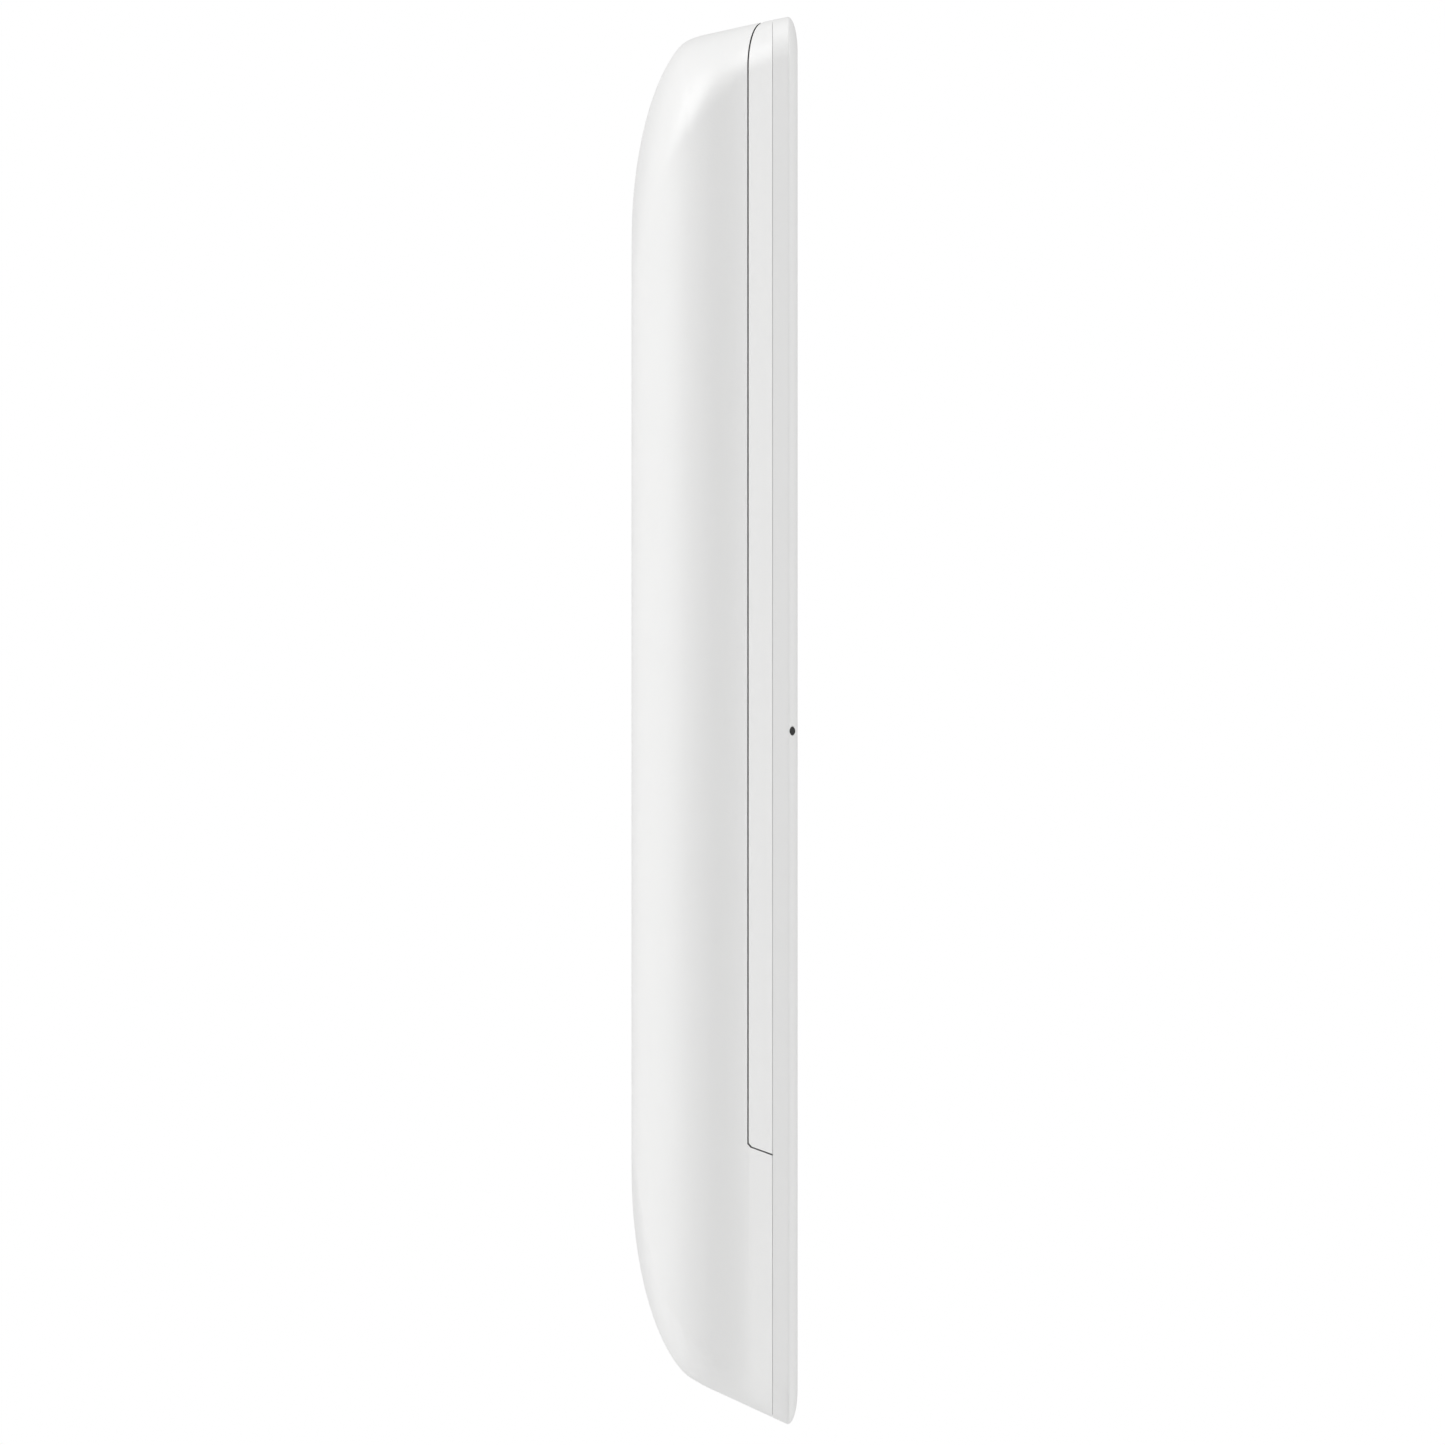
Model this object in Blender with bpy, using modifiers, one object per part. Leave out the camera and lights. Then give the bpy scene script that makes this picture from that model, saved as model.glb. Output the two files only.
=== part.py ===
"""A slim wired video doorbell: front cover, housing and rear cover on a steel wall bracket.

Frame: metres, +Z up, the wall is the plane y = 0 and the front faces -Y.
The origin is the centre of the bracket's rear face. Sizes below are in millimetres.
"""

import math

import bmesh
import bpy
from mathutils import Matrix, Vector

MM = 0.001

# Driving dimensions of the outer surface. Depth is counted backwards from the front face.
DEPTH = 15.85            # front face to wall
SIDES = (                # (depth, half width) of the straight and flared side
    (8.0, 21.45), (9.3, 21.5), (10.3, 21.62), (11.12, 21.8), (13.46, 22.8), (15.05, 23.0))
TOP_Z = 67.1
BOTTOM_Z = -67.1
FLAT_TOP = 46.0          # the flat front face ends here, and the soft rounding starts
FLAT_BOTTOM = -43.0
ROUND_DEPTH = 8.0        # depth that the front rounding takes
ROUND_TOP = 20.3         # and its height at the top
ROUND_BOTTOM = 20.7
ROUND_SIDE = 8.5         # and its width at the sides
END_CORNER_DEPTH = 5.8   # the ends turn from round to straight near here
END_LAST = 8.5           # and are straight and drafted behind this
TOP_BLEND = 0.9
BOTTOM_BLEND = 0.5
TOP_DRAFT = math.radians(11.8)
BOTTOM_DRAFT = math.radians(24.6)
SKIRT_DEPTH = 11.12      # the sides flare from here back to the rear cover
LAND_DEPTH = 13.46       # front edge of the rear cover's straight land
PEAK_DEPTH = 14.88       # the ends are longest here
EDGE_DEPTH = 0.95        # the rear edge's rounding: depth and width
EDGE_WIDTH = 3.2
TOP_RADII = ((0, 11.0), (5.5, 9.5), (8.0, 7.0), (11.12, 4.6), (13.46, 4.2), (15.85, 4.2))
BOTTOM_RADII = ((0, 8.0), (2.0, 5.6), (4.0, 4.7), (8.0, 4.4), (13.46, 4.2), (15.85, 4.2))
CORNER_STEPS = 6

# Walls, gaps and the parting lines between the three housings.
COVER_WALL = 1.6
HOUSING_WALL = 1.2
NEST_GAP = 0.3           # front cover to housing
FACE_GAP = 0.03          # housings that rest on the rear cover
LIP_INSET = 0.55         # a lip on the housing closes the seam this far under the surface
LIP_REACH = 1.0          # and reaches this far under the cover
LIP_GAP = 0.15
SEAM_GAP = 0.14
SEAM_Y = -4.73
SEAM_TOP_Y = -3.4        # the seam swings back by this over the top corner
SEAM_TURN_Z = 62.3
SEAM_TOP_Z = 66.5
JOG_Z = -40.65           # the cover's deep chin starts here
JOG_SLOPE = 0.36
JOG_SHIFT = 0.65         # the gap along the step is this much of the side gap
REAR_Y = LAND_DEPTH - DEPTH
HOUSING_BOTTOM_Z = -50.0

# Front features.
CAMERA_Z = 31.5
WINDOW_RADIUS = 11.5
WINDOW_LOW_Z = 16.5
BUTTON_Z = -28.0
BUTTON_RADIUS = 9.7
BUTTON_TRAVEL = 0.6
MIC_Z = -6.0
RESET_X = 10.0
VENT_RADIUS = 0.45

# Rear features.
BRACKET_THICK = 1.2
BRACKET_HALF = 15.1
BRACKET_LOW_Z = -60.1
BRACKET_HIGH_Z = 60.9
RECESS_DEPTH = 1.5
SLOT_HIGH_Z = 46.0
SLOT_LOW_Z = -40.0
WELL_LOW_Z = -19.0
WELL_HIGH_Z = 9.0
WELL_DEPTH = 6.5
HOOK_X = 9.0
LOCK_Y = -5.1
FLOOR_Y = -2.9

# Inner stack.
BOARD_Y = -8.7
BOARD_THICK = 1.0
BOARD_FRONT_Y = BOARD_Y - BOARD_THICK / 2
BOARD_REAR_Y = BOARD_Y + BOARD_THICK / 2

COLOURS = {
    "white_plastic": ((0.86, 0.86, 0.86), 0.42, 0.0),
    "black_acrylic": ((0.01, 0.01, 0.012), 0.08, 0.0),
    "black_plastic": ((0.03, 0.03, 0.03), 0.45, 0.0),
    "black_rubber": ((0.02, 0.02, 0.02), 0.7, 0.0),
    "light_guide": ((0.80, 0.86, 0.92), 0.25, 0.0),
    "lens_glass": ((0.10, 0.12, 0.16), 0.02, 0.0),
    "steel": ((0.62, 0.63, 0.64), 0.35, 1.0),
    "brass": ((0.78, 0.60, 0.30), 0.3, 1.0),
    "circuit_board": ((0.03, 0.16, 0.10), 0.5, 0.0),
    "silicone": ((0.35, 0.35, 0.36), 0.65, 0.0),
    "speaker_paper": ((0.06, 0.06, 0.07), 0.8, 0.0),
    "flex_film": ((0.55, 0.30, 0.08), 0.35, 0.0),
}


# ---------------------------------------------------------------- scene and helpers

def clear_scene():
    for obj in list(bpy.data.objects):
        bpy.data.objects.remove(obj, do_unlink=True)


def new_collection(name):
    collection = bpy.data.collections.new(name)
    bpy.context.scene.collection.children.link(collection)
    return collection


def make_material(name):
    colour, roughness, metallic = COLOURS[name]
    material = bpy.data.materials.new(name)
    material.use_nodes = True
    shader = material.node_tree.nodes["Principled BSDF"]
    shader.inputs["Base Color"].default_value = (*colour, 1.0)
    shader.inputs["Roughness"].default_value = roughness
    shader.inputs["Metallic"].default_value = metallic
    return material


clear_scene()
PARTS = new_collection("video_doorbell")
CUTTERS = new_collection("cutters")
MATERIALS = {name: make_material(name) for name in COLOURS}


def place(name, mesh, material, location=(0, 0, 0)):
    """A mesh as a named part, its origin at location, in millimetres."""
    obj = bpy.data.objects.new(name, mesh)
    obj.location = Vector(location) * MM
    PARTS.objects.link(obj)
    mesh.materials.append(MATERIALS[material])
    mesh.shade_smooth()
    mesh.set_sharp_from_angle(angle=math.radians(30))
    return obj


def as_tool(obj):
    """Moves an object to the cutters: it shapes others and isn't a part itself."""
    for collection in list(obj.users_collection):
        collection.objects.unlink(obj)
    CUTTERS.objects.link(obj)
    obj.hide_render = True
    obj.display_type = "WIRE"
    return obj


def combine(obj, tool, operation):
    as_tool(tool)
    modifier = obj.modifiers.new(operation.lower() + "_" + tool.name, "BOOLEAN")
    modifier.operation = operation
    modifier.object = tool
    modifier.solver = "EXACT"
    return obj


def cut(obj, *tools):
    for tool in tools:
        combine(obj, tool, "DIFFERENCE")
    return obj


def join(obj, *tools):
    for tool in tools:
        combine(obj, tool, "UNION")
    return obj


def mesh_from(bm, name):
    bmesh.ops.recalc_face_normals(bm, faces=bm.faces)
    mesh = bpy.data.meshes.new(name)
    bm.to_mesh(mesh)
    bm.free()
    return mesh


def block(name, low, high, material="white_plastic", radius=0.0, along="Y", steps=3):
    """A box between two corners, with its four edges along one axis rounded."""
    low, high = Vector(low), Vector(high)
    centre, size = (low + high) / 2, high - low
    bm = bmesh.new()
    bmesh.ops.create_cube(bm, size=1.0)
    bmesh.ops.scale(bm, vec=size * MM, verts=bm.verts)
    if radius:
        axis = "XYZ".index(along)
        edges = [e for e in bm.edges if is_along(e, axis)]
        bmesh.ops.bevel(bm, geom=edges, offset=radius * MM, segments=steps,
                        affect="EDGES", profile=0.5)
    return place(name, mesh_from(bm, name), material, centre)


def is_along(edge, axis):
    run = edge.verts[1].co - edge.verts[0].co
    return abs(run[axis]) > 0.9 * run.length


def rod(name, radius, start, end, material="steel", segments=24):
    """A cylinder between two points."""
    start, end = Vector(start), Vector(end)
    run = end - start
    bm = bmesh.new()
    bmesh.ops.create_cone(bm, cap_ends=True, segments=segments, radius1=radius * MM,
                          radius2=radius * MM, depth=run.length * MM)
    turn = Vector((0, 0, 1)).rotation_difference(run).to_matrix().to_4x4()
    bmesh.ops.transform(bm, matrix=turn, verts=bm.verts)
    return place(name, mesh_from(bm, name), material, (start + end) / 2)


def turned(name, profile, centre, material, segments=32):
    """A part turned about the Y axis from a (radius, y) profile, open at the axis or closed in a ring."""
    closed = profile[0] == profile[-1]
    corners = profile[:-1] if closed else profile
    pairs = list(zip(corners, corners[1:] + corners[:1]))
    if sum(a[0] * b[1] - b[0] * a[1] for a, b in pairs) > 0:
        corners = corners[::-1]
    bm = bmesh.new()
    points = [bm.verts.new((radius * MM, y * MM, 0)) for radius, y in corners]
    for a, b in zip(points, points[1:] + (points[:1] if closed else [])):
        bm.edges.new((a, b))
    mesh = bpy.data.meshes.new(name)
    bm.to_mesh(mesh)
    bm.free()
    obj = place(name, mesh, material, centre)
    screw = obj.modifiers.new("turn", "SCREW")
    screw.axis = "Y"
    screw.steps = segments
    screw.render_steps = segments
    screw.use_merge_vertices = True
    screw.merge_threshold = 0.00001
    return obj


def prism(name, outline, half_width, material="white_plastic"):
    """A (y, z) outline extruded across X to both sides, as a mesh."""
    bm = bmesh.new()
    side = [bm.verts.new((-half_width * MM, y * MM, z * MM)) for y, z in outline]
    face = bm.faces.new(side)
    moved = bmesh.ops.extrude_face_region(bm, geom=[face])["geom"]
    verts = [g for g in moved if isinstance(g, bmesh.types.BMVert)]
    bmesh.ops.translate(bm, vec=(2 * half_width * MM, 0, 0), verts=verts)
    return place(name, mesh_from(bm, name), material)


def ring_plate(name, low, high, width, material, radius):
    """A flat rounded frame between two corners, of the given width, lying across Y."""
    outer = block(name, low, high, material, radius=radius, steps=4)
    inner_low = (low[0] + width, low[1] - 1, low[2] + width)
    inner_high = (high[0] - width, high[1] + 1, high[2] - width)
    return cut(outer, block(name + "_hole", inner_low, inner_high, radius=radius - width, steps=4))


# ---------------------------------------------------------------- the outer surface

def read_table(depth, table):
    """The value at a depth in a table of (depth, value) rows, straight between them."""
    for (d0, v0), (d1, v1) in zip(table, table[1:]):
        if depth <= d1:
            return v0 + (v1 - v0) * max(0.0, depth - d0) / (d1 - d0)
    return table[-1][1]


def end_rise(depth):
    """How far the front rounding has risen, from 0 to about 1, carried on straight past its corner."""
    rise = math.sqrt(1 - (1 - min(depth, END_CORNER_DEPTH) / ROUND_DEPTH) ** 2)
    past = max(0.0, depth - END_CORNER_DEPTH)
    return rise + past * (1 - END_CORNER_DEPTH / ROUND_DEPTH) / (ROUND_DEPTH * max(rise, 0.1))


def soft_min(a, b, blend):
    """The smaller of two heights, with the corner between them rounded off over blend."""
    share = min(1.0, max(0.0, 0.5 + 0.5 * (b - a) / blend))
    return b + (a - b) * share - blend * share * (1 - share)


def section(depth):
    """(half width, top, bottom) of the outer surface at a depth from the front."""
    rise = math.sqrt(max(0.0, 1 - (1 - min(depth, ROUND_DEPTH) / ROUND_DEPTH) ** 2))
    half = read_table(depth, SIDES) - ROUND_SIDE * (1 - rise)
    to_peak = PEAK_DEPTH - min(depth, PEAK_DEPTH)
    top = TOP_Z - to_peak * math.tan(TOP_DRAFT)
    bottom = BOTTOM_Z + to_peak * math.tan(BOTTOM_DRAFT)
    if depth < END_LAST:
        round_end = end_rise(depth)
        top = soft_min(FLAT_TOP + ROUND_TOP * round_end, top, TOP_BLEND)
        bottom = -soft_min(-FLAT_BOTTOM + ROUND_BOTTOM * round_end, -bottom, BOTTOM_BLEND)
    edge = max(0.0, depth - (DEPTH - EDGE_DEPTH)) / EDGE_DEPTH
    inset = EDGE_WIDTH * (1 - math.sqrt(max(0.0, 1 - edge * edge)))
    return half - inset, top - inset, bottom + inset


def outline(depth, inset=0.0):
    """The section's rounded rectangle as (x, z) points, all the way round."""
    half, top, bottom = section(depth)
    half, top, bottom = half - inset, top - inset, bottom + inset
    points = []
    corners = ((half, top, 0), (-half, top, 90), (-half, bottom, 180), (half, bottom, 270))
    for x, z, start in corners:
        radius = max(read_table(depth, TOP_RADII if z > 0 else BOTTOM_RADII) - inset, 1.0)
        centre_x = x - math.copysign(radius, x)
        centre_z = z - math.copysign(radius, z)
        for step in range(CORNER_STEPS + 1):
            angle = math.radians(start + 90 * step / CORNER_STEPS)
            points.append((centre_x + radius * math.cos(angle), centre_z + radius * math.sin(angle)))
    return points


def stations(last):
    """Depths at which the surface is drawn, close together where it curves."""
    curved = [ROUND_DEPTH * (1 - math.cos(math.radians(a))) for a in (0, 15, 30, 45, 58, 66, 71, 76, 81, 90)]
    edge = [DEPTH - EDGE_DEPTH + EDGE_DEPTH * math.sin(math.radians(a)) for a in (0, 25, 45, 65, 80, 90)]
    every = curved + [9.3, 10.3, SKIRT_DEPTH, LAND_DEPTH, 14.3, PEAK_DEPTH] + edge
    return [d for d in sorted(set(every)) if d <= last]


def body_form(name, inset=0.0, last=DEPTH, extend=0.0, material="white_plastic"):
    """The outer form, or one drawn inside it by inset, closed at both ends.

    It stops at depth last, and can be carried straight on by extend.
    """
    bm = bmesh.new()
    rings = []
    rows = [(d, -DEPTH + d + inset) for d in stations(last)]
    if extend:
        rows.append((rows[-1][0], rows[-1][1] + extend))
    for depth, y in rows:
        rings.append([bm.verts.new((x * MM, y * MM, z * MM)) for x, z in outline(depth, inset)])
    for first, second in zip(rings, rings[1:]):
        for i in range(len(first)):
            j = (i + 1) % len(first)
            bm.faces.new((first[i], first[j], second[j], second[i]))
    bm.faces.new(rings[0])
    bm.faces.new(list(reversed(rings[-1])))
    return place(name, mesh_from(bm, name), material)


def seam_line(shift):
    """(y, z) points down the parting line between cover and housing, moved forward by shift.

    From the top face it swings forward round the corner, runs straight down the side,
    and turns back at the chin.
    """
    steps = 6
    points = [(SEAM_TOP_Y - shift, 80.0)]
    for i in range(steps + 1):
        angle = math.radians(90 * i / steps)
        y = SEAM_Y + (SEAM_TOP_Y - SEAM_Y) * (1 - math.sin(angle))
        z = SEAM_TURN_Z + (SEAM_TOP_Z - SEAM_TURN_Z) * math.cos(angle)
        points.append((y - shift, z))
    drop = shift * JOG_SHIFT
    points.append((SEAM_Y - shift, JOG_Z + 0.35 - drop))
    points.append((SEAM_Y + 0.3 - shift, JOG_Z - drop))
    points.append((8.0, JOG_Z - drop - JOG_SLOPE * (8.0 - SEAM_Y - 0.3 + shift)))
    return points


def ahead_of_seam(name, shift):
    """Everything in front of the parting line and below the jog."""
    return prism(name, seam_line(shift) + [(8.0, -80.0), (-30.0, -80.0), (-30.0, 80.0)], 40.0)


def behind_seam(name, shift):
    """Everything behind the parting line and above the jog."""
    return prism(name, seam_line(shift) + [(8.0, 80.0)], 40.0)


# ---------------------------------------------------------------- front cover

def make_front_cover():
    cover = body_form("front_cover")
    cut(cover, body_form("cover_hollow", inset=COVER_WALL, last=SKIRT_DEPTH, extend=8.0))
    cut(cover, behind_seam("cover_parting", SEAM_GAP / 2))
    cut(cover, block("chin_rear", (-40, REAR_Y - FACE_GAP / 2, -80), (40, 10, 0)))
    rebate = body_form("rebate", inset=LIP_INSET - LIP_GAP)
    cut(cover, cut(rebate, ahead_of_seam("rebate_front", LIP_REACH + LIP_GAP)))
    cut(cover, stadium("window_opening", WINDOW_RADIUS + NEST_GAP, -20.0, -10.0))
    cut(cover, rod("button_opening", 12.4, (0, -20, BUTTON_Z), (0, -10, BUTTON_Z), segments=48))
    cut(cover, rod("mic_opening", 0.6, (0, -20, MIC_Z), (0, -10, MIC_Z), segments=16))
    cut(cover, block("lock_notch", (-3.7, -8.2, -72), (3.7, 2, -60.9), radius=3.0, along="Z"))
    for side in (-1, 1):
        for i in range(4):
            x = side * (6.4 + 3.0 * i)
            slot = block("speaker_slot", (x - 0.65, -9.0, -70), (x + 0.65, -4.4, -58), radius=0.6, along="Z")
            cut(cover, slot)
    return cover


def stadium(name, radius, low_y, high_y, material="white_plastic", steps=12):
    """The upright window's outline, two half circles and two straight sides, as a slab."""
    points = []
    for step in range(steps + 1):
        angle = math.pi * step / steps
        points.append((radius * math.cos(angle), CAMERA_Z + radius * math.sin(angle)))
    for step in range(steps + 1):
        angle = math.pi + math.pi * step / steps
        points.append((radius * math.cos(angle), WINDOW_LOW_Z + radius * math.sin(angle)))
    bm = bmesh.new()
    face = bm.faces.new([bm.verts.new((x * MM, low_y * MM, z * MM)) for x, z in points])
    moved = bmesh.ops.extrude_face_region(bm, geom=[face])["geom"]
    verts = [g for g in moved if isinstance(g, bmesh.types.BMVert)]
    bmesh.ops.translate(bm, vec=(0, (high_y - low_y) * MM, 0), verts=verts)
    return place(name, mesh_from(bm, name), material)


# ---------------------------------------------------------------- housing behind the cover

SCREW_PLACES = {
    "left_top": (-13.0, 52.0),
    "right_top": (13.0, 52.0),
    "left_bottom": (-13.0, -43.0),
    "right_bottom": (13.0, -43.0),
}
BOARD_SCREW_PLACES = {"upper": (-13.6, 19.0), "lower": (13.6, -36.0)}


def make_housing():
    inset = COVER_WALL + NEST_GAP
    housing = body_form("housing", inset=inset, last=SKIRT_DEPTH, extend=4.0)
    cut(housing, block("chin_space", (-40, -20, -80), (40, 5, HOUSING_BOTTOM_Z)))
    skirt = body_form("skirt")
    cut(skirt, ahead_of_seam("skirt_parting", -SEAM_GAP / 2))
    lip = body_form("seam_lip", inset=LIP_INSET, last=SKIRT_DEPTH, extend=1.2)
    join(housing, skirt, cut(lip, ahead_of_seam("lip_front", LIP_REACH)))
    well_floor = rod("button_floor", 13.6, (0, -13.4, BUTTON_Z), (0, -11.2, BUTTON_Z), segments=48)
    cut(housing, block("rear_of_housing", (-40, REAR_Y - FACE_GAP / 2, -80), (40, 10, 80)))
    cut(housing, hollow_with_bosses(inset + HOUSING_WALL))
    join(housing, well_floor)
    cut(housing, rod("button_well", 12.4, (0, -16, BUTTON_Z), (0, -12.4, BUTTON_Z), segments=48))
    cut(housing, rod("button_post_hole", 2.3, (0, -14, BUTTON_Z), (0, -10, BUTTON_Z)))
    cut(housing, rod("lens_hole", 7.4, (0, -15, CAMERA_Z), (0, -11.6, CAMERA_Z), segments=40))
    cut(housing, rod("mic_hole", 2.7, (0, -15, MIC_Z), (0, -11, MIC_Z)))
    cut(housing, rod("reset_hole", 1.8, (RESET_X, -15, MIC_Z), (RESET_X, -11, MIC_Z)))
    for side in (-1, 1):
        x = side * 5.0
        cut(housing, rod("led_hole", 2.0, (x, -15, WINDOW_LOW_Z), (x, -11, WINDOW_LOW_Z)))
    cut(housing, block("speaker_port", (-7.4, -10.4, -52), (7.4, -6.6, -47)))
    for name, (x, z) in SCREW_PLACES.items():
        cut(housing, rod("pilot_" + name, 1.25, (x, -8.0, z), (x, -1.0, z), segments=16))
    for name, (x, z) in BOARD_SCREW_PLACES.items():
        cut(housing, rod("board_pilot_" + name, 0.95, (x, -11.2, z), (x, -8.0, z), segments=16))
    return housing


def hollow_with_bosses(inset):
    """The housing's inner space. The screw bosses are left standing in it."""
    hollow = body_form("housing_hollow", inset=inset, last=9.3, extend=12.0)
    cut(hollow, block("bottom_wall", (-40, -20, -80), (40, 12, HOUSING_BOTTOM_Z + HOUSING_WALL)))
    for name, (x, z) in SCREW_PLACES.items():
        cut(hollow, rod("boss_" + name, 3.0, (x, -20, z), (x, -3.2, z)))
    for name, (x, z) in BOARD_SCREW_PLACES.items():
        cut(hollow, rod("board_boss_" + name, 2.2, (x, -20, z), (x, BOARD_FRONT_Y - 0.1, z), segments=16))
    return hollow


# ---------------------------------------------------------------- rear cover

def make_rear_cover():
    cover = body_form("rear_cover")
    front_y = REAR_Y + FACE_GAP / 2
    cut(cover, block("front_of_rear_cover", (-40, -30, -80), (40, front_y, 80)))
    spigot = block("spigot", (-16.9, FLOOR_Y, -46.9), (16.9, front_y + 0.5, 61.1), radius=2.0)
    well = block("well_wall", (-11.2, -WELL_DEPTH - 1.2, WELL_LOW_Z - 1.2), (11.2, -2.0, WELL_HIGH_Z + 1.2),
                 radius=1.5)
    head_wells = [rod(f"head_well_{z}", 6.2, (0, -5.2, z), (0, -2.0, z)) for z in (SLOT_HIGH_Z, SLOT_LOW_Z)]
    lock = block("lock_wall", (-5.2, -8.2, -60.6), (5.2, -2.0, -52.0), radius=1.0)
    tongue = body_form("lock_tongue", inset=0.05)
    around = block("tongue_limit", (-3.4, -7.9, -75), (3.4, -2.2, -60.0), radius=2.8, along="Z")
    combine(tongue, around, "INTERSECT")
    join(cover, spigot, well, *head_wells, lock, tongue)
    cut(cover, block("bracket_recess", (-15.5, -RECESS_DEPTH, -60.6), (15.5, 4, 61.5), radius=2.5))
    for side in (-1, 1):
        x = side * HOOK_X
        cut(cover, block("hook_pocket", (x - 3.6, -1.75, 60.3), (x + 3.6, -0.4, 63.4)))
    cut(cover, block("wire_well", (-10, -WELL_DEPTH, WELL_LOW_Z), (10, 4, WELL_HIGH_Z), radius=1.0))
    for z in (SLOT_HIGH_Z, SLOT_LOW_Z):
        cut(cover, rod("head_room", 5.0, (0, -4.2, z), (0, 2, z)))
    cut(cover, block("lock_space", (-4, -7.0, -59.4), (4, 4, -53.2)))
    cut(cover, rod("lock_thread", 1.5, (0, LOCK_Y, -70), (0, LOCK_Y, -58)))
    cut(cover, rod("lock_counterbore", 2.2, (0, LOCK_Y, -75), (0, LOCK_Y, -62.6)))
    for name, (x, z) in SCREW_PLACES.items():
        cut(cover, rod("clear_" + name, 1.3, (x, -4, z), (x, 0, z), segments=16))
        cut(cover, rod("counterbore_" + name, 2.3, (x, -2.4, z), (x, 2, z)))
    for side in (-1, 1):
        x = side * 5.0
        cut(cover, rod("terminal_hole", 1.7, (x, -9, 3.5), (x, -5, 3.5), segments=16))
    cut(cover, rod("vent_hole", VENT_RADIUS, vent_point(0.8), vent_point(-1.9), segments=16))
    return cover


def vent_point(out):
    """A point on the vent's axis, which leans 45 degrees to the wall. Zero is at the surface."""
    slant = math.cos(math.radians(45))
    return (22.66 + out * slant, -0.42 + out * slant, -1.0)


# ---------------------------------------------------------------- wall bracket

def make_bracket():
    bracket = block("wall_bracket", (-BRACKET_HALF, -BRACKET_THICK, BRACKET_LOW_Z),
                    (BRACKET_HALF, 0, BRACKET_HIGH_Z), "steel", radius=2.2)
    for side in (-1, 1):
        x = side * HOOK_X
        join(bracket, block("hook", (x - 3.0, -1.45, BRACKET_HIGH_Z - 0.4), (x + 3.0, -0.75, 62.7)))
    tab = block("lock_tab", (-3.2, -6.4, -57.5), (3.2, -0.6, -56.3))
    join(bracket, tab)
    cut(bracket, block("lock_slot", (-1.7, -9, -59), (1.7, -3.3, -55), radius=1.2, along="Z"))
    cut(bracket, block("wire_window", (-10.5, -3, WELL_LOW_Z), (10.5, 3, -3.2), radius=2.0))
    for z in (SLOT_HIGH_Z, SLOT_LOW_Z):
        cut(bracket, block("screw_slot", (-2.2, -3, z - 4.0), (2.2, 3, z + 4.0), radius=2.1, steps=4))
    for side in (-1, 1):
        x = side * 11.0
        cut(bracket, block("weight_slot", (x - 1.6, -3, 14), (x + 1.6, 3, 34), radius=1.5))
    return bracket


# ---------------------------------------------------------------- camera

def make_camera():
    holder = block("lens_holder", (-12, -10.2, CAMERA_Z - 7), (12, -5.0, CAMERA_Z + 7), "black_plastic",
                   radius=1.0)
    cut(holder, rod("holder_bore", 4.7, (0, -12, CAMERA_Z), (0, -3, CAMERA_Z)))
    cut(holder, block("filter_track", (-10.5, -6.7, CAMERA_Z - 4.4), (10.5, -5.7, CAMERA_Z + 4.4)))
    barrel = [(0, -12.6), (4.3, -12.6), (4.3, -14.0), (5.9, -14.0), (5.9, -15.25), (6.9, -15.25),
              (6.9, -12.9), (4.3, -10.6), (4.3, -7.1), (0, -7.1)]
    turned("lens_barrel", barrel, (0, 0, CAMERA_Z), "black_plastic", 40)
    turned("lens_glass", [(0, -15.55), (2.8, -15.4), (4.6, -15.05), (5.6, -14.6), (5.6, -14.15), (0, -14.15)],
           (0, 0, CAMERA_Z), "lens_glass", 40)
    block("ir_cut_filter", (-10.1, -6.45, CAMERA_Z - 4.0), (3.7, -5.95, CAMERA_Z + 4.0), "lens_glass",
          radius=0.4)
    block("sensor_board", (-11, -4.85, CAMERA_Z - 7.2), (11, -3.9, CAMERA_Z + 7.2), "circuit_board",
          radius=0.8)
    window = stadium("lens_window", WINDOW_RADIUS, -15.65, -14.1, "black_acrylic", steps=18)
    cut(window, rod("window_hole", 7.3, (0, -17, CAMERA_Z), (0, -12, CAMERA_Z), segments=48))
    for name, x in (("ir_led_left", -5.0), ("ir_led_right", 5.0)):
        rod(name, 1.6, (x, -13.6, WINDOW_LOW_Z), (x, BOARD_FRONT_Y - 0.1, WINDOW_LOW_Z), "lens_glass", 20)
    ribbon = ((-3.75, 29.0), (-3.75, 22.5), (-4.9, 20.0), (-7.2, 18.3), (-8.1, 16.0),
              (-7.85, 16.0), (-6.95, 18.1), (-4.65, 19.8), (-3.5, 22.4), (-3.5, 29.0))
    prism("camera_flex", ribbon, 4.0, "flex_film")


# ---------------------------------------------------------------- call button and reset button

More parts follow.
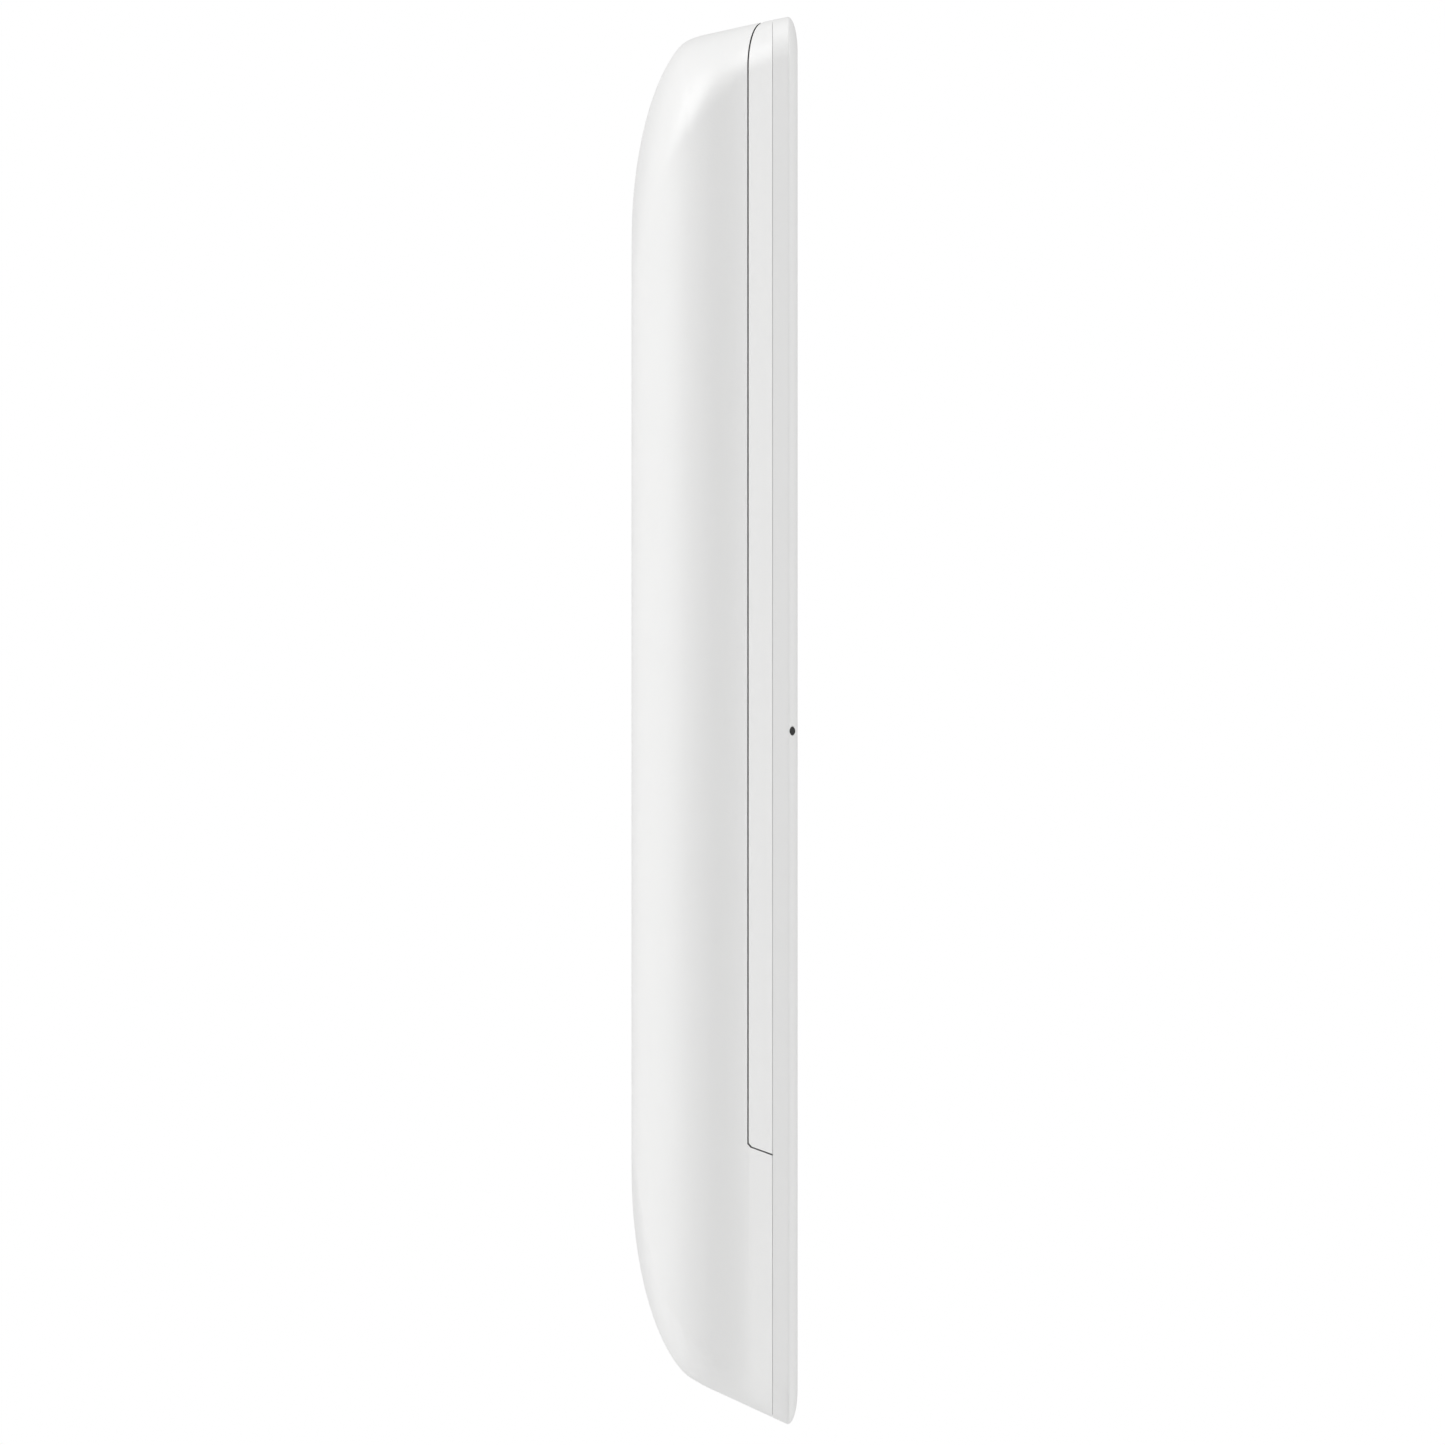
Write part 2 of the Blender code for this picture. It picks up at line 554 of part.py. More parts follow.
def make_buttons():
    turned("call_button", [(0, -15.4), (5.0, -15.44), (8.8, -15.6), (9.4, -15.5), (BUTTON_RADIUS, -15.2),
                           (BUTTON_RADIUS, -14.0), (1.8, -14.0), (1.8, -11.35), (0, -11.35)],
           (0, 0, BUTTON_Z), "white_plastic", 40)
    turned("button_light_ring", [(10.05, -15.6), (10.3, -15.7), (11.8, -15.7), (12.05, -15.6),
                                 (12.05, -12.55), (10.05, -12.55), (10.05, -15.6)],
           (0, 0, BUTTON_Z), "light_guide", 48)
    turned("button_gasket", [(3.0, -13.1), (9.6, -13.1), (9.6, -12.52), (3.0, -12.52), (3.0, -13.1)],
           (0, 0, BUTTON_Z), "silicone", 32)
    switch_rear = BOARD_FRONT_Y - 0.1
    block("button_switch", (-3, -10.6, BUTTON_Z - 3), (3, switch_rear, BUTTON_Z + 3), "black_plastic",
          radius=0.5)
    rod("reset_button", 1.4, (RESET_X, -13.9, MIC_Z), (RESET_X, -11.2, MIC_Z), "black_rubber", 20)
    block("reset_switch", (RESET_X - 1.8, -10.6, MIC_Z - 1.8), (RESET_X + 1.8, switch_rear, MIC_Z + 1.8),
          "black_plastic", radius=0.4)


# ---------------------------------------------------------------- boards, sound and power

def make_electronics():
    front_y = BOARD_FRONT_Y - 0.1
    rear_y = BOARD_REAR_Y + 0.1
    board = block("main_board", (-16, BOARD_FRONT_Y, -40), (16, BOARD_REAR_Y, 22.5), "circuit_board",
                  radius=1.5)
    for name, (x, z) in BOARD_SCREW_PLACES.items():
        cut(board, rod("board_hole_" + name, 1.2, (x, -12, z), (x, -5, z), segments=16))
    block("shield_can", (-9, -11.9, -1.5), (7.0, front_y, 11.5), "steel", radius=0.8)
    block("wifi_antenna", (12.6, -10.8, 4), (14.6, front_y, 16), "brass", radius=0.3)
    block("power_inductor", (-12.5, rear_y, -33.5), (-7.0, -4.6, -26.5), "black_plastic", radius=1.0)
    block("wifi_module", (3.5, rear_y, -33.0), (13.5, -6.1, -26.4), "steel", radius=0.5)
    rod("supercapacitor", 2.3, (-7, -5.6, -23.3), (7, -5.6, -23.3), "black_plastic", 24)
    boot = rod("microphone_boot", 2.4, (0, -14.0, MIC_Z), (0, -10.5, MIC_Z), "black_rubber", 24)
    cut(boot, rod("boot_bore", 0.6, (0, -16, MIC_Z), (0, -9, MIC_Z), segments=16))
    block("microphone", (-1.8, -10.4, MIC_Z - 1.4), (1.8, front_y, MIC_Z + 1.4), "steel", radius=0.3)


def make_speaker():
    frame = block("speaker_frame", (-9.6, -11.4, -48.6), (9.6, -5.4, -43.9), "black_plastic",
                  radius=1.2, along="Z")
    cut(frame, block("speaker_hollow", (-8.2, -10.6, -50), (8.2, -6.2, -45), radius=1.0, along="Z"))
    block("speaker_magnet", (-6.4, -10.1, -46.6), (6.4, -6.7, -45.1), "steel", radius=0.4, along="Z")
    block("speaker_cone", (-7.9, -10.3, -48.05), (7.9, -6.5, -47.6), "speaker_paper", radius=0.9, along="Z")
    block("speaker_mesh", (-8.4, -11.2, -50.45), (8.4, -6.0, -50.12), "steel", radius=1.0, along="Z")


def make_terminals():
    for name, x in (("left", -5.0), ("right", 5.0)):
        plate = block("terminal_plate_" + name, (x - 3.6, -6.4, 0.2), (x + 3.6, -5.7, 7.2), "brass",
                      radius=0.6)
        cut(plate, rod("plate_hole", 1.7, (x, -8, 3.5), (x, -4, 3.5), segments=16))
        pan_screw("terminal_screw_" + name, (x, -5.6, 3.5), (0, -1, 0), 2.8, 1.5, 1.4, 1.85, "brass")


def pan_screw(name, seat, towards, head_radius, head_height, shank_radius, shank_length, material="steel"):
    """A screw with a slotted round head. The seat is under its head, and its shank points towards."""
    seat, towards = Vector(seat), Vector(towards)
    top = seat - towards * head_height
    screw = rod(name, head_radius, seat, top, material, 24)
    shank_end = seat + towards * shank_length
    join(screw, rod(name + "_shank", shank_radius, seat - towards * 0.2, shank_end, segments=16))
    side = Vector((1, 0, 0))
    half = side * head_radius * 1.2 + (Vector((1, 1, 1)) - side - Vector(map(abs, towards))) * 0.35
    low = top - half - Vector(map(abs, towards)) * head_height * 0.4
    high = top + half + Vector(map(abs, towards)) * head_height * 0.4
    return cut(screw, block(name + "_slot", low, high))


def make_fasteners():
    for name, (x, z) in SCREW_PLACES.items():
        pan_screw("housing_screw_" + name, (x, -2.32, z), (0, -1, 0), 2.0, 0.75, 1.0, 5.2)
    for name, (x, z) in BOARD_SCREW_PLACES.items():
        pan_screw("board_screw_" + name, (x, BOARD_REAR_Y + 0.1, z), (0, -1, 0), 1.8, 0.9, 0.7, 2.6)
    pan_screw("security_screw", (0, LOCK_Y, -62.7), (0, 0, 1), 1.9, 1.4, 1.25, 7.0)


def make_seals():
    ring_plate("rear_seal", (-18.2, -3.4, -48.4), (18.2, REAR_Y - 0.02, 62.4), 1.1, "silicone", 2.2)
    rod("vent_plug", VENT_RADIUS - 0.05, vent_point(-0.12), vent_point(-1.8), "black_rubber", 16)


def main():
    make_front_cover()
    make_housing()
    make_rear_cover()
    make_bracket()
    make_camera()
    make_buttons()
    make_electronics()
    make_speaker()
    make_terminals()
    make_fasteners()
    make_seals()


main()
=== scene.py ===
# %% [markdown]
# # A slim video doorbell
# A moulded white doorbell in three shells on a steel wall bracket. The frame holds every mechanical
# piece at its true size. This lesson gives them their finished surfaces: smooth shells, a glass lens,
# a clear ring round the button, and materials that are made from nodes alone.

import math

import bmesh
import bpy
from mathutils import Matrix, Vector


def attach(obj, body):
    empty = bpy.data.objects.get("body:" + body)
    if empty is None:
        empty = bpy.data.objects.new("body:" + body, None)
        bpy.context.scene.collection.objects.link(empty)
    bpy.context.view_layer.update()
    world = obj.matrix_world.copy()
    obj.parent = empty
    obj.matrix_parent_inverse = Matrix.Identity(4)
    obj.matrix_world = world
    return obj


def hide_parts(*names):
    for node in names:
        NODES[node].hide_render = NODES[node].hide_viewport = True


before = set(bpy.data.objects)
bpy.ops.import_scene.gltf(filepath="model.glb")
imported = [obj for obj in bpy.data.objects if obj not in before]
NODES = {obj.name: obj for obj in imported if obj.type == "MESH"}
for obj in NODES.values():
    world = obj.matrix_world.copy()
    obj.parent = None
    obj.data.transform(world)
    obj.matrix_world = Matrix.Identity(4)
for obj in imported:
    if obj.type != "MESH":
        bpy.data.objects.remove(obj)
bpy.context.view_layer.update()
MM = 0.001

# %% [markdown]
# ## Effects that several finishes share
# Real finishes differ in their numbers more than in their kind: nearly every moulded part has a fine
# grain, and nearly every handled one has faint marks. The same nodes could be copied into each
# material, but a change would then have to be made many times. So each effect is a node group, made
# once, that gives out heights and masks. The shader itself stays in each material.

# %% A helper for groups
def new_group(name, inputs, outputs):
    """A shader group with float inputs {name: default} and the named outputs."""
    group = bpy.data.node_groups.new(name, "ShaderNodeTree")
    for label, default in inputs.items():
        socket = group.interface.new_socket(label, in_out="INPUT", socket_type="NodeSocketFloat")
        socket.default_value = default
    for label in outputs:
        group.interface.new_socket(label, in_out="OUTPUT", socket_type="NodeSocketFloat")
    return group, group.nodes.new("NodeGroupInput"), group.nodes.new("NodeGroupOutput")


def add(tree, kind, **values):
    """A node, with its properties and its input values set by name."""
    node = tree.nodes.new(kind)
    for key, value in values.items():
        if key in node.inputs:
            node.inputs[key].default_value = value
        else:
            setattr(node, key, value)
    return node


def math_node(tree, operation, a, b):
    node = tree.nodes.new("ShaderNodeMath")
    node.operation = operation
    for slot, value in enumerate((a, b)):
        if isinstance(value, bpy.types.NodeSocket):
            tree.links.new(value, node.inputs[slot])
        else:
            node.inputs[slot].default_value = value
    return node.outputs[0]


# %% [markdown]
# ### Moulded grain
# A steel mould is spark-etched, so the plastic comes out with a fine, even pebble a few tenths of a
# millimetre across. A painted texture would need the surface unwrapped, and would show a seam. Noise
# on the object's own coordinates has none, so two sizes of it are used: fine for the pebble's height,
# and broad for a slow change of shade.

# %% Grain group
def make_grain():
    group, source, result = new_group("moulded_grain", {"Size": 0.25}, ("Height", "Shade"))
    where = group.nodes.new("ShaderNodeTexCoord")
    density = math_node(group, "DIVIDE", 1.0, math_node(group, "MULTIPLY", source.outputs["Size"], MM))
    fine = add(group, "ShaderNodeTexNoise", Detail=2.0, Roughness=0.6)
    broad = add(group, "ShaderNodeTexNoise", Scale=90.0, Detail=3.0)
    group.links.new(where.outputs["Object"], fine.inputs["Vector"])
    group.links.new(where.outputs["Object"], broad.inputs["Vector"])
    group.links.new(density, fine.inputs["Scale"])
    group.links.new(fine.outputs["Fac"], result.inputs["Height"])
    group.links.new(broad.outputs["Fac"], result.inputs["Shade"])
    return group


GRAIN = make_grain()
print("group:", GRAIN.name)

# %% [markdown]
# ### Handling marks
# Fingers leave a few smoother patches and hairlines that only show as a change of gloss. A picture of
# scratches would repeat, and blur close up. Here noise stretched along one direction makes the
# hairlines, and slow noise says where they gather.

# %% Marks group
def make_marks():
    group, source, result = new_group("handling_marks", {"Amount": 0.5}, ("Mask",))
    where = group.nodes.new("ShaderNodeTexCoord")
    stretch = add(group, "ShaderNodeMapping")
    stretch.inputs["Scale"].default_value = (900.0, 900.0, 60.0)
    stretch.inputs["Rotation"].default_value = (0.5, 0.4, 0.3)
    hairs = add(group, "ShaderNodeTexNoise", Scale=1.0, Detail=1.0)
    patches = add(group, "ShaderNodeTexNoise", Scale=45.0, Detail=3.0)
    group.links.new(where.outputs["Object"], stretch.inputs["Vector"])
    group.links.new(stretch.outputs["Vector"], hairs.inputs["Vector"])
    group.links.new(where.outputs["Object"], patches.inputs["Vector"])
    both = math_node(group, "MULTIPLY", hairs.outputs["Fac"], patches.outputs["Fac"])
    group.links.new(math_node(group, "MULTIPLY", both, source.outputs["Amount"]), result.inputs["Mask"])
    return group


MARKS = make_marks()
print("group:", MARKS.name)

# %% [markdown]
# ### Worn edges
# Plating wears first on outer edges. The geometry node's pointiness is above a half there, so what is
# over a half, steeply scaled and clamped, is a mask. An edge mask painted by hand would be lost each
# time the shape changes.

# %% Edge group
def make_edges():
    group, source, result = new_group("worn_edges", {"Sharpness": 12.0}, ("Outer",))
    shape = group.nodes.new("ShaderNodeNewGeometry")
    lifted = math_node(group, "SUBTRACT", shape.outputs["Pointiness"], 0.5)
    steep = math_node(group, "MULTIPLY", lifted, source.outputs["Sharpness"])
    steep.node.use_clamp = True
    group.links.new(steep, result.inputs["Outer"])
    return group


EDGES = make_edges()
print("group:", EDGES.name)

# %% [markdown]
# ## Finishes
# A finish is a colour, a roughness and a little unevenness in both. Each material could be wired by
# hand, but they would differ only in their numbers, so one function makes a Principled material and
# mixes the shared effects into it. Colour varies a few percent, roughness a little more, and the grain
# feeds a Bump node at its real depth.

# %% The common recipe
GLOSS_SPREAD = 0.08   # how far roughness wanders with the slow shade
MARK_GLOSS = 0.25     # how much smoother a full mark is
BUMP_STRENGTH = 0.6


def colour_input(mix, label):
    return [s for s in mix.inputs if s.name == label and s.type == "RGBA"][0]


def set_colour(mix, label, colour):
    colour_input(mix, label).default_value = (*colour[:3], 1.0)


def mix_output(mix):
    return [s for s in mix.outputs if s.type == "RGBA"][0]


def finish(name, colour, rough, metal=0.0, grain=0.25, depth=0.01, vary=0.03, marks=0.3,
           edge_tint=None, **sockets):
    """A material from the shared effects. Depth is the grain's height in millimetres."""
    material = bpy.data.materials.new(name)
    material.use_nodes = True
    tree = material.node_tree
    shader = tree.nodes["Principled BSDF"]
    shader.inputs["Metallic"].default_value = metal
    for socket, value in sockets.items():
        shader.inputs[socket.replace("_", " ")].default_value = value
    pebble = add(tree, "ShaderNodeGroup", node_tree=GRAIN)
    pebble.inputs["Size"].default_value = grain
    wear = add(tree, "ShaderNodeGroup", node_tree=MARKS)
    wear.inputs["Amount"].default_value = marks

    tint = add(tree, "ShaderNodeMix", data_type="RGBA", clamp_factor=True)
    darker = [c * (1 - vary) for c in colour]
    lighter = [min(1.0, c * (1 + vary)) for c in colour]
    set_colour(tint, "A", darker)
    set_colour(tint, "B", lighter)
    tree.links.new(pebble.outputs["Shade"], tint.inputs["Factor"])
    surface = mix_output(tint)
    if edge_tint:
        edge = add(tree, "ShaderNodeGroup", node_tree=EDGES)
        worn = add(tree, "ShaderNodeMix", data_type="RGBA", clamp_factor=True)
        tree.links.new(surface, colour_input(worn, "A"))
        set_colour(worn, "B", edge_tint)
        tree.links.new(edge.outputs["Outer"], worn.inputs["Factor"])
        surface = mix_output(worn)
    tree.links.new(surface, shader.inputs["Base Color"])

    spread = math_node(tree, "MULTIPLY", pebble.outputs["Shade"], GLOSS_SPREAD)
    gloss = math_node(tree, "ADD", spread, rough - GLOSS_SPREAD / 2)
    rubbed = math_node(tree, "MULTIPLY", wear.outputs["Mask"], MARK_GLOSS)
    tree.links.new(math_node(tree, "SUBTRACT", gloss, rubbed), shader.inputs["Roughness"])
    bump = add(tree, "ShaderNodeBump", Strength=BUMP_STRENGTH, Distance=depth * MM)
    tree.links.new(pebble.outputs["Height"], bump.inputs["Height"])
    tree.links.new(bump.outputs["Normal"], shader.inputs["Normal"])
    return material


print("shared effects:", [group.name for group in bpy.data.node_groups])

# %% [markdown]
# ### The set of finishes
# White shells have a satin spark-etched grain. The window is polished acrylic, the bracket zinc plated,
# and the inner parts keep the colours that such parts have. Plain values, such as how much light glass
# lets through, go straight onto the shader's own sockets, where they are easy to find.

# %% Make every finish
WHITE = finish("satin_white_plastic", (0.82, 0.82, 0.815), 0.44, grain=0.22, depth=0.012, vary=0.008,
               marks=0.5)
BUTTON_WHITE = finish("button_white_plastic", (0.83, 0.83, 0.825), 0.34, grain=0.3, depth=0.006,
                      vary=0.006, marks=0.15)
ACRYLIC = finish("black_acrylic", (0.006, 0.006, 0.008), 0.08, grain=2.5, depth=0.001, marks=0.25)
BLACK = finish("black_satin_plastic", (0.022, 0.022, 0.023), 0.46, grain=0.3, depth=0.014, vary=0.12,
               edge_tint=(0.07, 0.07, 0.07))
RUBBER = finish("black_rubber", (0.018, 0.018, 0.018), 0.72, grain=0.35, depth=0.02, vary=0.15)
SILICONE = finish("grey_silicone", (0.32, 0.32, 0.33), 0.62, grain=0.5, depth=0.01, vary=0.06)
GUIDE = finish("frosted_light_guide", (0.84, 0.87, 0.90), 0.30, grain=0.3, depth=0.006, vary=0.01,
               Transmission_Weight=0.35, IOR=1.49)
LENS = finish("coated_lens_glass", (0.75, 0.78, 0.95), 0.05, grain=4.0, depth=0.0005, marks=0.1,
              Transmission_Weight=1.0, IOR=1.5)
INNER_LENS = finish("purple_coated_lens", (0.03, 0.012, 0.07), 0.06, grain=4.0, depth=0.0005, marks=0.1,
                    vary=0.3, Coat_Weight=0.8, Coat_Roughness=0.03)
DIODE = finish("infrared_diode", (0.12, 0.12, 0.14), 0.12, grain=1.0, depth=0.001, vary=0.1)
ZINC = finish("zinc_plated_steel", (0.62, 0.63, 0.64), 0.36, metal=1.0, grain=0.8, depth=0.006, vary=0.10,
              edge_tint=(0.82, 0.82, 0.83), marks=0.8)
TIN = finish("tinned_steel", (0.70, 0.70, 0.69), 0.30, metal=1.0, grain=0.6, depth=0.004, vary=0.06,
             edge_tint=(0.88, 0.88, 0.87))
BRASS = finish("bright_brass", (0.80, 0.60, 0.28), 0.28, metal=1.0, grain=0.5, depth=0.004, vary=0.08,
               edge_tint=(0.95, 0.80, 0.50))
PAPER = finish("speaker_paper", (0.05, 0.05, 0.055), 0.85, grain=0.5, depth=0.05, vary=0.25)
print("finishes:", len(bpy.data.materials))

# %% [markdown]
# ### A circuit board and a ribbon
# Solder mask is a thin green coat over copper, so tracks show as slightly raised, lighter lines. A brick
# pattern on the board's flat coordinates gives straight runs; the ribbon has parallel copper lines.
# Modelled tracks would be truer, but they are too fine to be worth their faces on a hidden board.

# %% Board and ribbon finishes
def patterned(name, base, line, scale, rough):
    material = finish(name, base, rough, grain=0.6, depth=0.006, vary=0.1)
    tree = material.node_tree
    shader = tree.nodes["Principled BSDF"]
    where = add(tree, "ShaderNodeTexCoord")
    flat = add(tree, "ShaderNodeMapping")
    flat.inputs["Rotation"].default_value = (math.radians(90), 0, 0)
    tracks = add(tree, "ShaderNodeTexBrick", Scale=scale, offset=0.37, squash=0.35)
    tracks.inputs["Mortar Size"].default_value = 0.035
    tracks.inputs["Color1"].default_value = (0, 0, 0, 1)
    tracks.inputs["Color2"].default_value = (0, 0, 0, 1)
    tracks.inputs["Mortar"].default_value = (1, 1, 1, 1)
    tree.links.new(where.outputs["Object"], flat.inputs["Vector"])
    tree.links.new(flat.outputs["Vector"], tracks.inputs["Vector"])
    before = shader.inputs["Base Color"].links[0].from_socket
    both = add(tree, "ShaderNodeMix", data_type="RGBA", clamp_factor=True)
    tree.links.new(before, colour_input(both, "A"))
    set_colour(both, "B", line)
    tree.links.new(tracks.outputs["Color"], both.inputs["Factor"])
    tree.links.new(mix_output(both), shader.inputs["Base Color"])
    return material


BOARD = patterned("solder_masked_board", (0.02, 0.13, 0.07), (0.06, 0.26, 0.13), 320.0, 0.38)
RIBBON = patterned("copper_ribbon", (0.42, 0.20, 0.04), (0.72, 0.42, 0.16), 900.0, 0.30)
print("patterned:", BOARD.name, RIBBON.name)

# %% [markdown]
# ## The outer form
# All three shells are slices of one soft form, and so they line up exactly at every parting line. The
# form is a stack of rounded rectangles, from the front face back to the wall: a quarter ellipse rounds
# the front, straight drafted ends follow, and a small radius closes the rear edge. A coarse cage with a
# Subdivision Surface is quicker to shape, but it only comes near a size. A stack drawn from a few
# formulas meets every size exactly.

# %% Sizes of the form, in millimetres
DEPTH = 15.85
SIDES = (  # (depth, half width) of the straight and flared side
    (8.0, 21.45), (9.3, 21.5), (10.3, 21.62), (11.12, 21.8), (13.46, 22.8), (15.05, 23.0))
TOP_Z, BOTTOM_Z = 67.1, -67.1
FLAT_TOP, FLAT_BOTTOM = 46.0, -43.0
ROUND_DEPTH, ROUND_TOP, ROUND_BOTTOM, ROUND_SIDE = 8.0, 20.3, 20.7, 8.5
END_CORNER_DEPTH, END_LAST, TOP_BLEND, BOTTOM_BLEND = 5.8, 8.5, 0.9, 0.5
TOP_DRAFT, BOTTOM_DRAFT = math.radians(11.8), math.radians(24.6)
SKIRT_DEPTH, LAND_DEPTH, PEAK_DEPTH = 11.12, 13.46, 14.88
EDGE_DEPTH, EDGE_WIDTH = 0.95, 3.2
TOP_RADII = ((0, 11.0), (5.5, 9.5), (8.0, 7.0), (11.12, 4.6), (13.46, 4.2), (15.85, 4.2))
BOTTOM_RADII = ((0, 8.0), (2.0, 5.6), (4.0, 4.7), (8.0, 4.4), (13.46, 4.2), (15.85, 4.2))
CORNER_STEPS = 20


def read_table(depth, table):
    """The value at a depth in a table of (depth, value) rows, straight between them."""
    for (d0, v0), (d1, v1) in zip(table, table[1:]):
        if depth <= d1:
            return v0 + (v1 - v0) * max(0.0, depth - d0) / (d1 - d0)
    return table[-1][1]


def end_rise(depth):
    """How far the front rounding has risen, from 0 to about 1, carried on straight past its corner."""
    rise = math.sqrt(1 - (1 - min(depth, END_CORNER_DEPTH) / ROUND_DEPTH) ** 2)
    past = max(0.0, depth - END_CORNER_DEPTH)
    return rise + past * (1 - END_CORNER_DEPTH / ROUND_DEPTH) / (ROUND_DEPTH * max(rise, 0.1))


def soft_min(a, b, blend):
    """The smaller of two heights, with the corner between them rounded off over blend."""
    share = min(1.0, max(0.0, 0.5 + 0.5 * (b - a) / blend))
    return b + (a - b) * share - blend * share * (1 - share)


def section(depth):
    """(half width, top, bottom) at a depth behind the front face."""
    rise = math.sqrt(max(0.0, 1 - (1 - min(depth, ROUND_DEPTH) / ROUND_DEPTH) ** 2))
    half = read_table(depth, SIDES) - ROUND_SIDE * (1 - rise)
    to_peak = PEAK_DEPTH - min(depth, PEAK_DEPTH)
    top = TOP_Z - to_peak * math.tan(TOP_DRAFT)
    bottom = BOTTOM_Z + to_peak * math.tan(BOTTOM_DRAFT)
    if depth < END_LAST:
        round_end = end_rise(depth)
        top = soft_min(FLAT_TOP + ROUND_TOP * round_end, top, TOP_BLEND)
        bottom = -soft_min(-FLAT_BOTTOM + ROUND_BOTTOM * round_end, -bottom, BOTTOM_BLEND)
    edge = max(0.0, depth - (DEPTH - EDGE_DEPTH)) / EDGE_DEPTH
    inset = EDGE_WIDTH * (1 - math.sqrt(max(0.0, 1 - edge * edge)))
    return half - inset, top - inset, bottom + inset


def outline(depth, inset=0.0):
    """One rounded rectangle of the form, as (x, z) points."""
    half, top, bottom = section(depth)
    half, top, bottom = half - inset, top - inset, bottom + inset
    points = []
    for x, z, start in ((half, top, 0), (-half, top, 90), (-half, bottom, 180), (half, bottom, 270)):
        radius = max(read_table(depth, TOP_RADII if z > 0 else BOTTOM_RADII) - inset, 1.0)
        centre_x, centre_z = x - math.copysign(radius, x), z - math.copysign(radius, z)
        for step in range(CORNER_STEPS + 1):
            angle = math.radians(start + 90 * step / CORNER_STEPS)
            points.append((centre_x + radius * math.cos(angle), centre_z + radius * math.sin(angle)))
    return points


print("form:", SIDES[-1][1] * 2, "x", DEPTH, "x", TOP_Z - BOTTOM_Z, "mm")

# %% [markdown]
# ### Lofting it
# The rings sit close together where the form curves, at even angles round each ellipse. Even steps of
# depth would leave the first ring far from the front face and show there as a facet.

# %% Loft
def stations(last):
    """Depths at which the form is drawn, close together where it curves."""
    curved = [ROUND_DEPTH * (1 - math.cos(math.radians(a))) for a in range(0, 91, 3)]
    edge = [DEPTH - EDGE_DEPTH + EDGE_DEPTH * math.sin(math.radians(a)) for a in range(0, 91, 9)]
    corner = [4.9, 5.1, 5.3, 5.5, 5.7, 5.9, 6.1, 6.3, 6.6, 6.9]
    straight = [8.6, 9.3, 9.8, 10.3, 10.7, SKIRT_DEPTH, 11.7, 12.6, LAND_DEPTH, 14.2, PEAK_DEPTH]
    every = set(round(d, 4) for d in curved + corner + straight + edge)
    return [d for d in sorted(every) if d <= last]


def link(name, bm, material=None):
    """Turns a bmesh into an object of the scene, its faces pointing out."""
    bmesh.ops.recalc_face_normals(bm, faces=bm.faces)
    mesh = bpy.data.meshes.new(name)
    bm.to_mesh(mesh)
    bm.free()
    obj = bpy.data.objects.new(name, mesh)
    bpy.context.scene.collection.objects.link(obj)
    if material:
        mesh.materials.append(material)
    return obj


def form(name, inset=0.0, last=DEPTH, extend=0.0):
    """The outer form, or one inside it, closed at both ends."""
    bm = bmesh.new()
    rows = [(d, -DEPTH + d + inset) for d in stations(last)]
    if extend:
        rows.append((rows[-1][0], rows[-1][1] + extend))
    rings = [[bm.verts.new((x * MM, y * MM, z * MM)) for x, z in outline(depth, inset)]
             for depth, y in rows]
    for first, second in zip(rings, rings[1:]):
        for i in range(len(first)):
            j = (i + 1) % len(first)
            bm.faces.new((first[i], first[j], second[j], second[i]))
    bm.faces.new(rings[0])
    bm.faces.new(list(reversed(rings[-1])))
    return link(name, bm)


print("rings:", len(stations(DEPTH)))

# %% [markdown]
# ### Outlines pulled straight
# Holes, wells and parting cuts are all flat outlines with straight walls, so one small tool makes them:
# it draws an outline as a face and pulls it along one axis. A curve object with an extrude would do the
# same, but it would have to be turned into a mesh before it could cut anything.

# %% Outlines and slabs
HALF_SPAN = 40.0                        # well past the form's sides


def slab(name, points, axis, low, high):
    """A flat outline, pulled straight along one axis from low to high."""
    bm = bmesh.new()
    order = {"X": lambda p: (low, *p), "Y": lambda p: (p[0], low, p[1]), "Z": lambda p: (*p, low)}
    face = bm.faces.new([bm.verts.new(Vector(order[axis](p)) * MM) for p in points])
    grown = bmesh.ops.extrude_face_region(bm, geom=[face])["geom"]
    moved = [g for g in grown if isinstance(g, bmesh.types.BMVert)]
    pull = Vector([high - low if a == axis else 0 for a in "XYZ"]) * MM
    bmesh.ops.translate(bm, vec=pull, verts=moved)
    return link(name, bm)


def side_block(name, front, rear, low, high):
    """A block seen from the side, from front to rear and low to high, wider than the form."""
    return across(name, [(front, low), (rear, low), (rear, high), (front, high)])


def across(name, points):
    """An outline of (y, z) points, pulled right across the form."""
    return slab(name, points, "X", -HALF_SPAN, HALF_SPAN)


def round_slot(x, z, half_x, half_z, radius, steps=10):
    """A rounded rectangle of (x, z) points."""
    points = []
    for sx, sz, start in ((1, 1, 0), (-1, 1, 90), (-1, -1, 180), (1, -1, 270)):
        for step in range(steps + 1):
            angle = math.radians(start + 90 * step / steps)
            points.append((x + sx * (half_x - radius) + radius * math.cos(angle),
                           z + sz * (half_z - radius) + radius * math.sin(angle)))
    return points


def circle(x, z, radius, steps=96):
    angles = [2 * math.pi * i / steps for i in range(steps)]
    return [(x + radius * math.cos(a), z + radius * math.sin(a)) for a in angles]


print("points in a round hole's outline:", len(circle(0, 0, 1.0)))

# %% [markdown]
# ### Cutting and smoothing
# Boolean modifiers could stay live, as they do while a design is still changing. These pieces are
# finished, so each cut is applied at once and its tool removed, which leaves only real pieces in the
# scene. Smooth shading with sharp edges by angle then keeps the round faces round and the edges crisp.

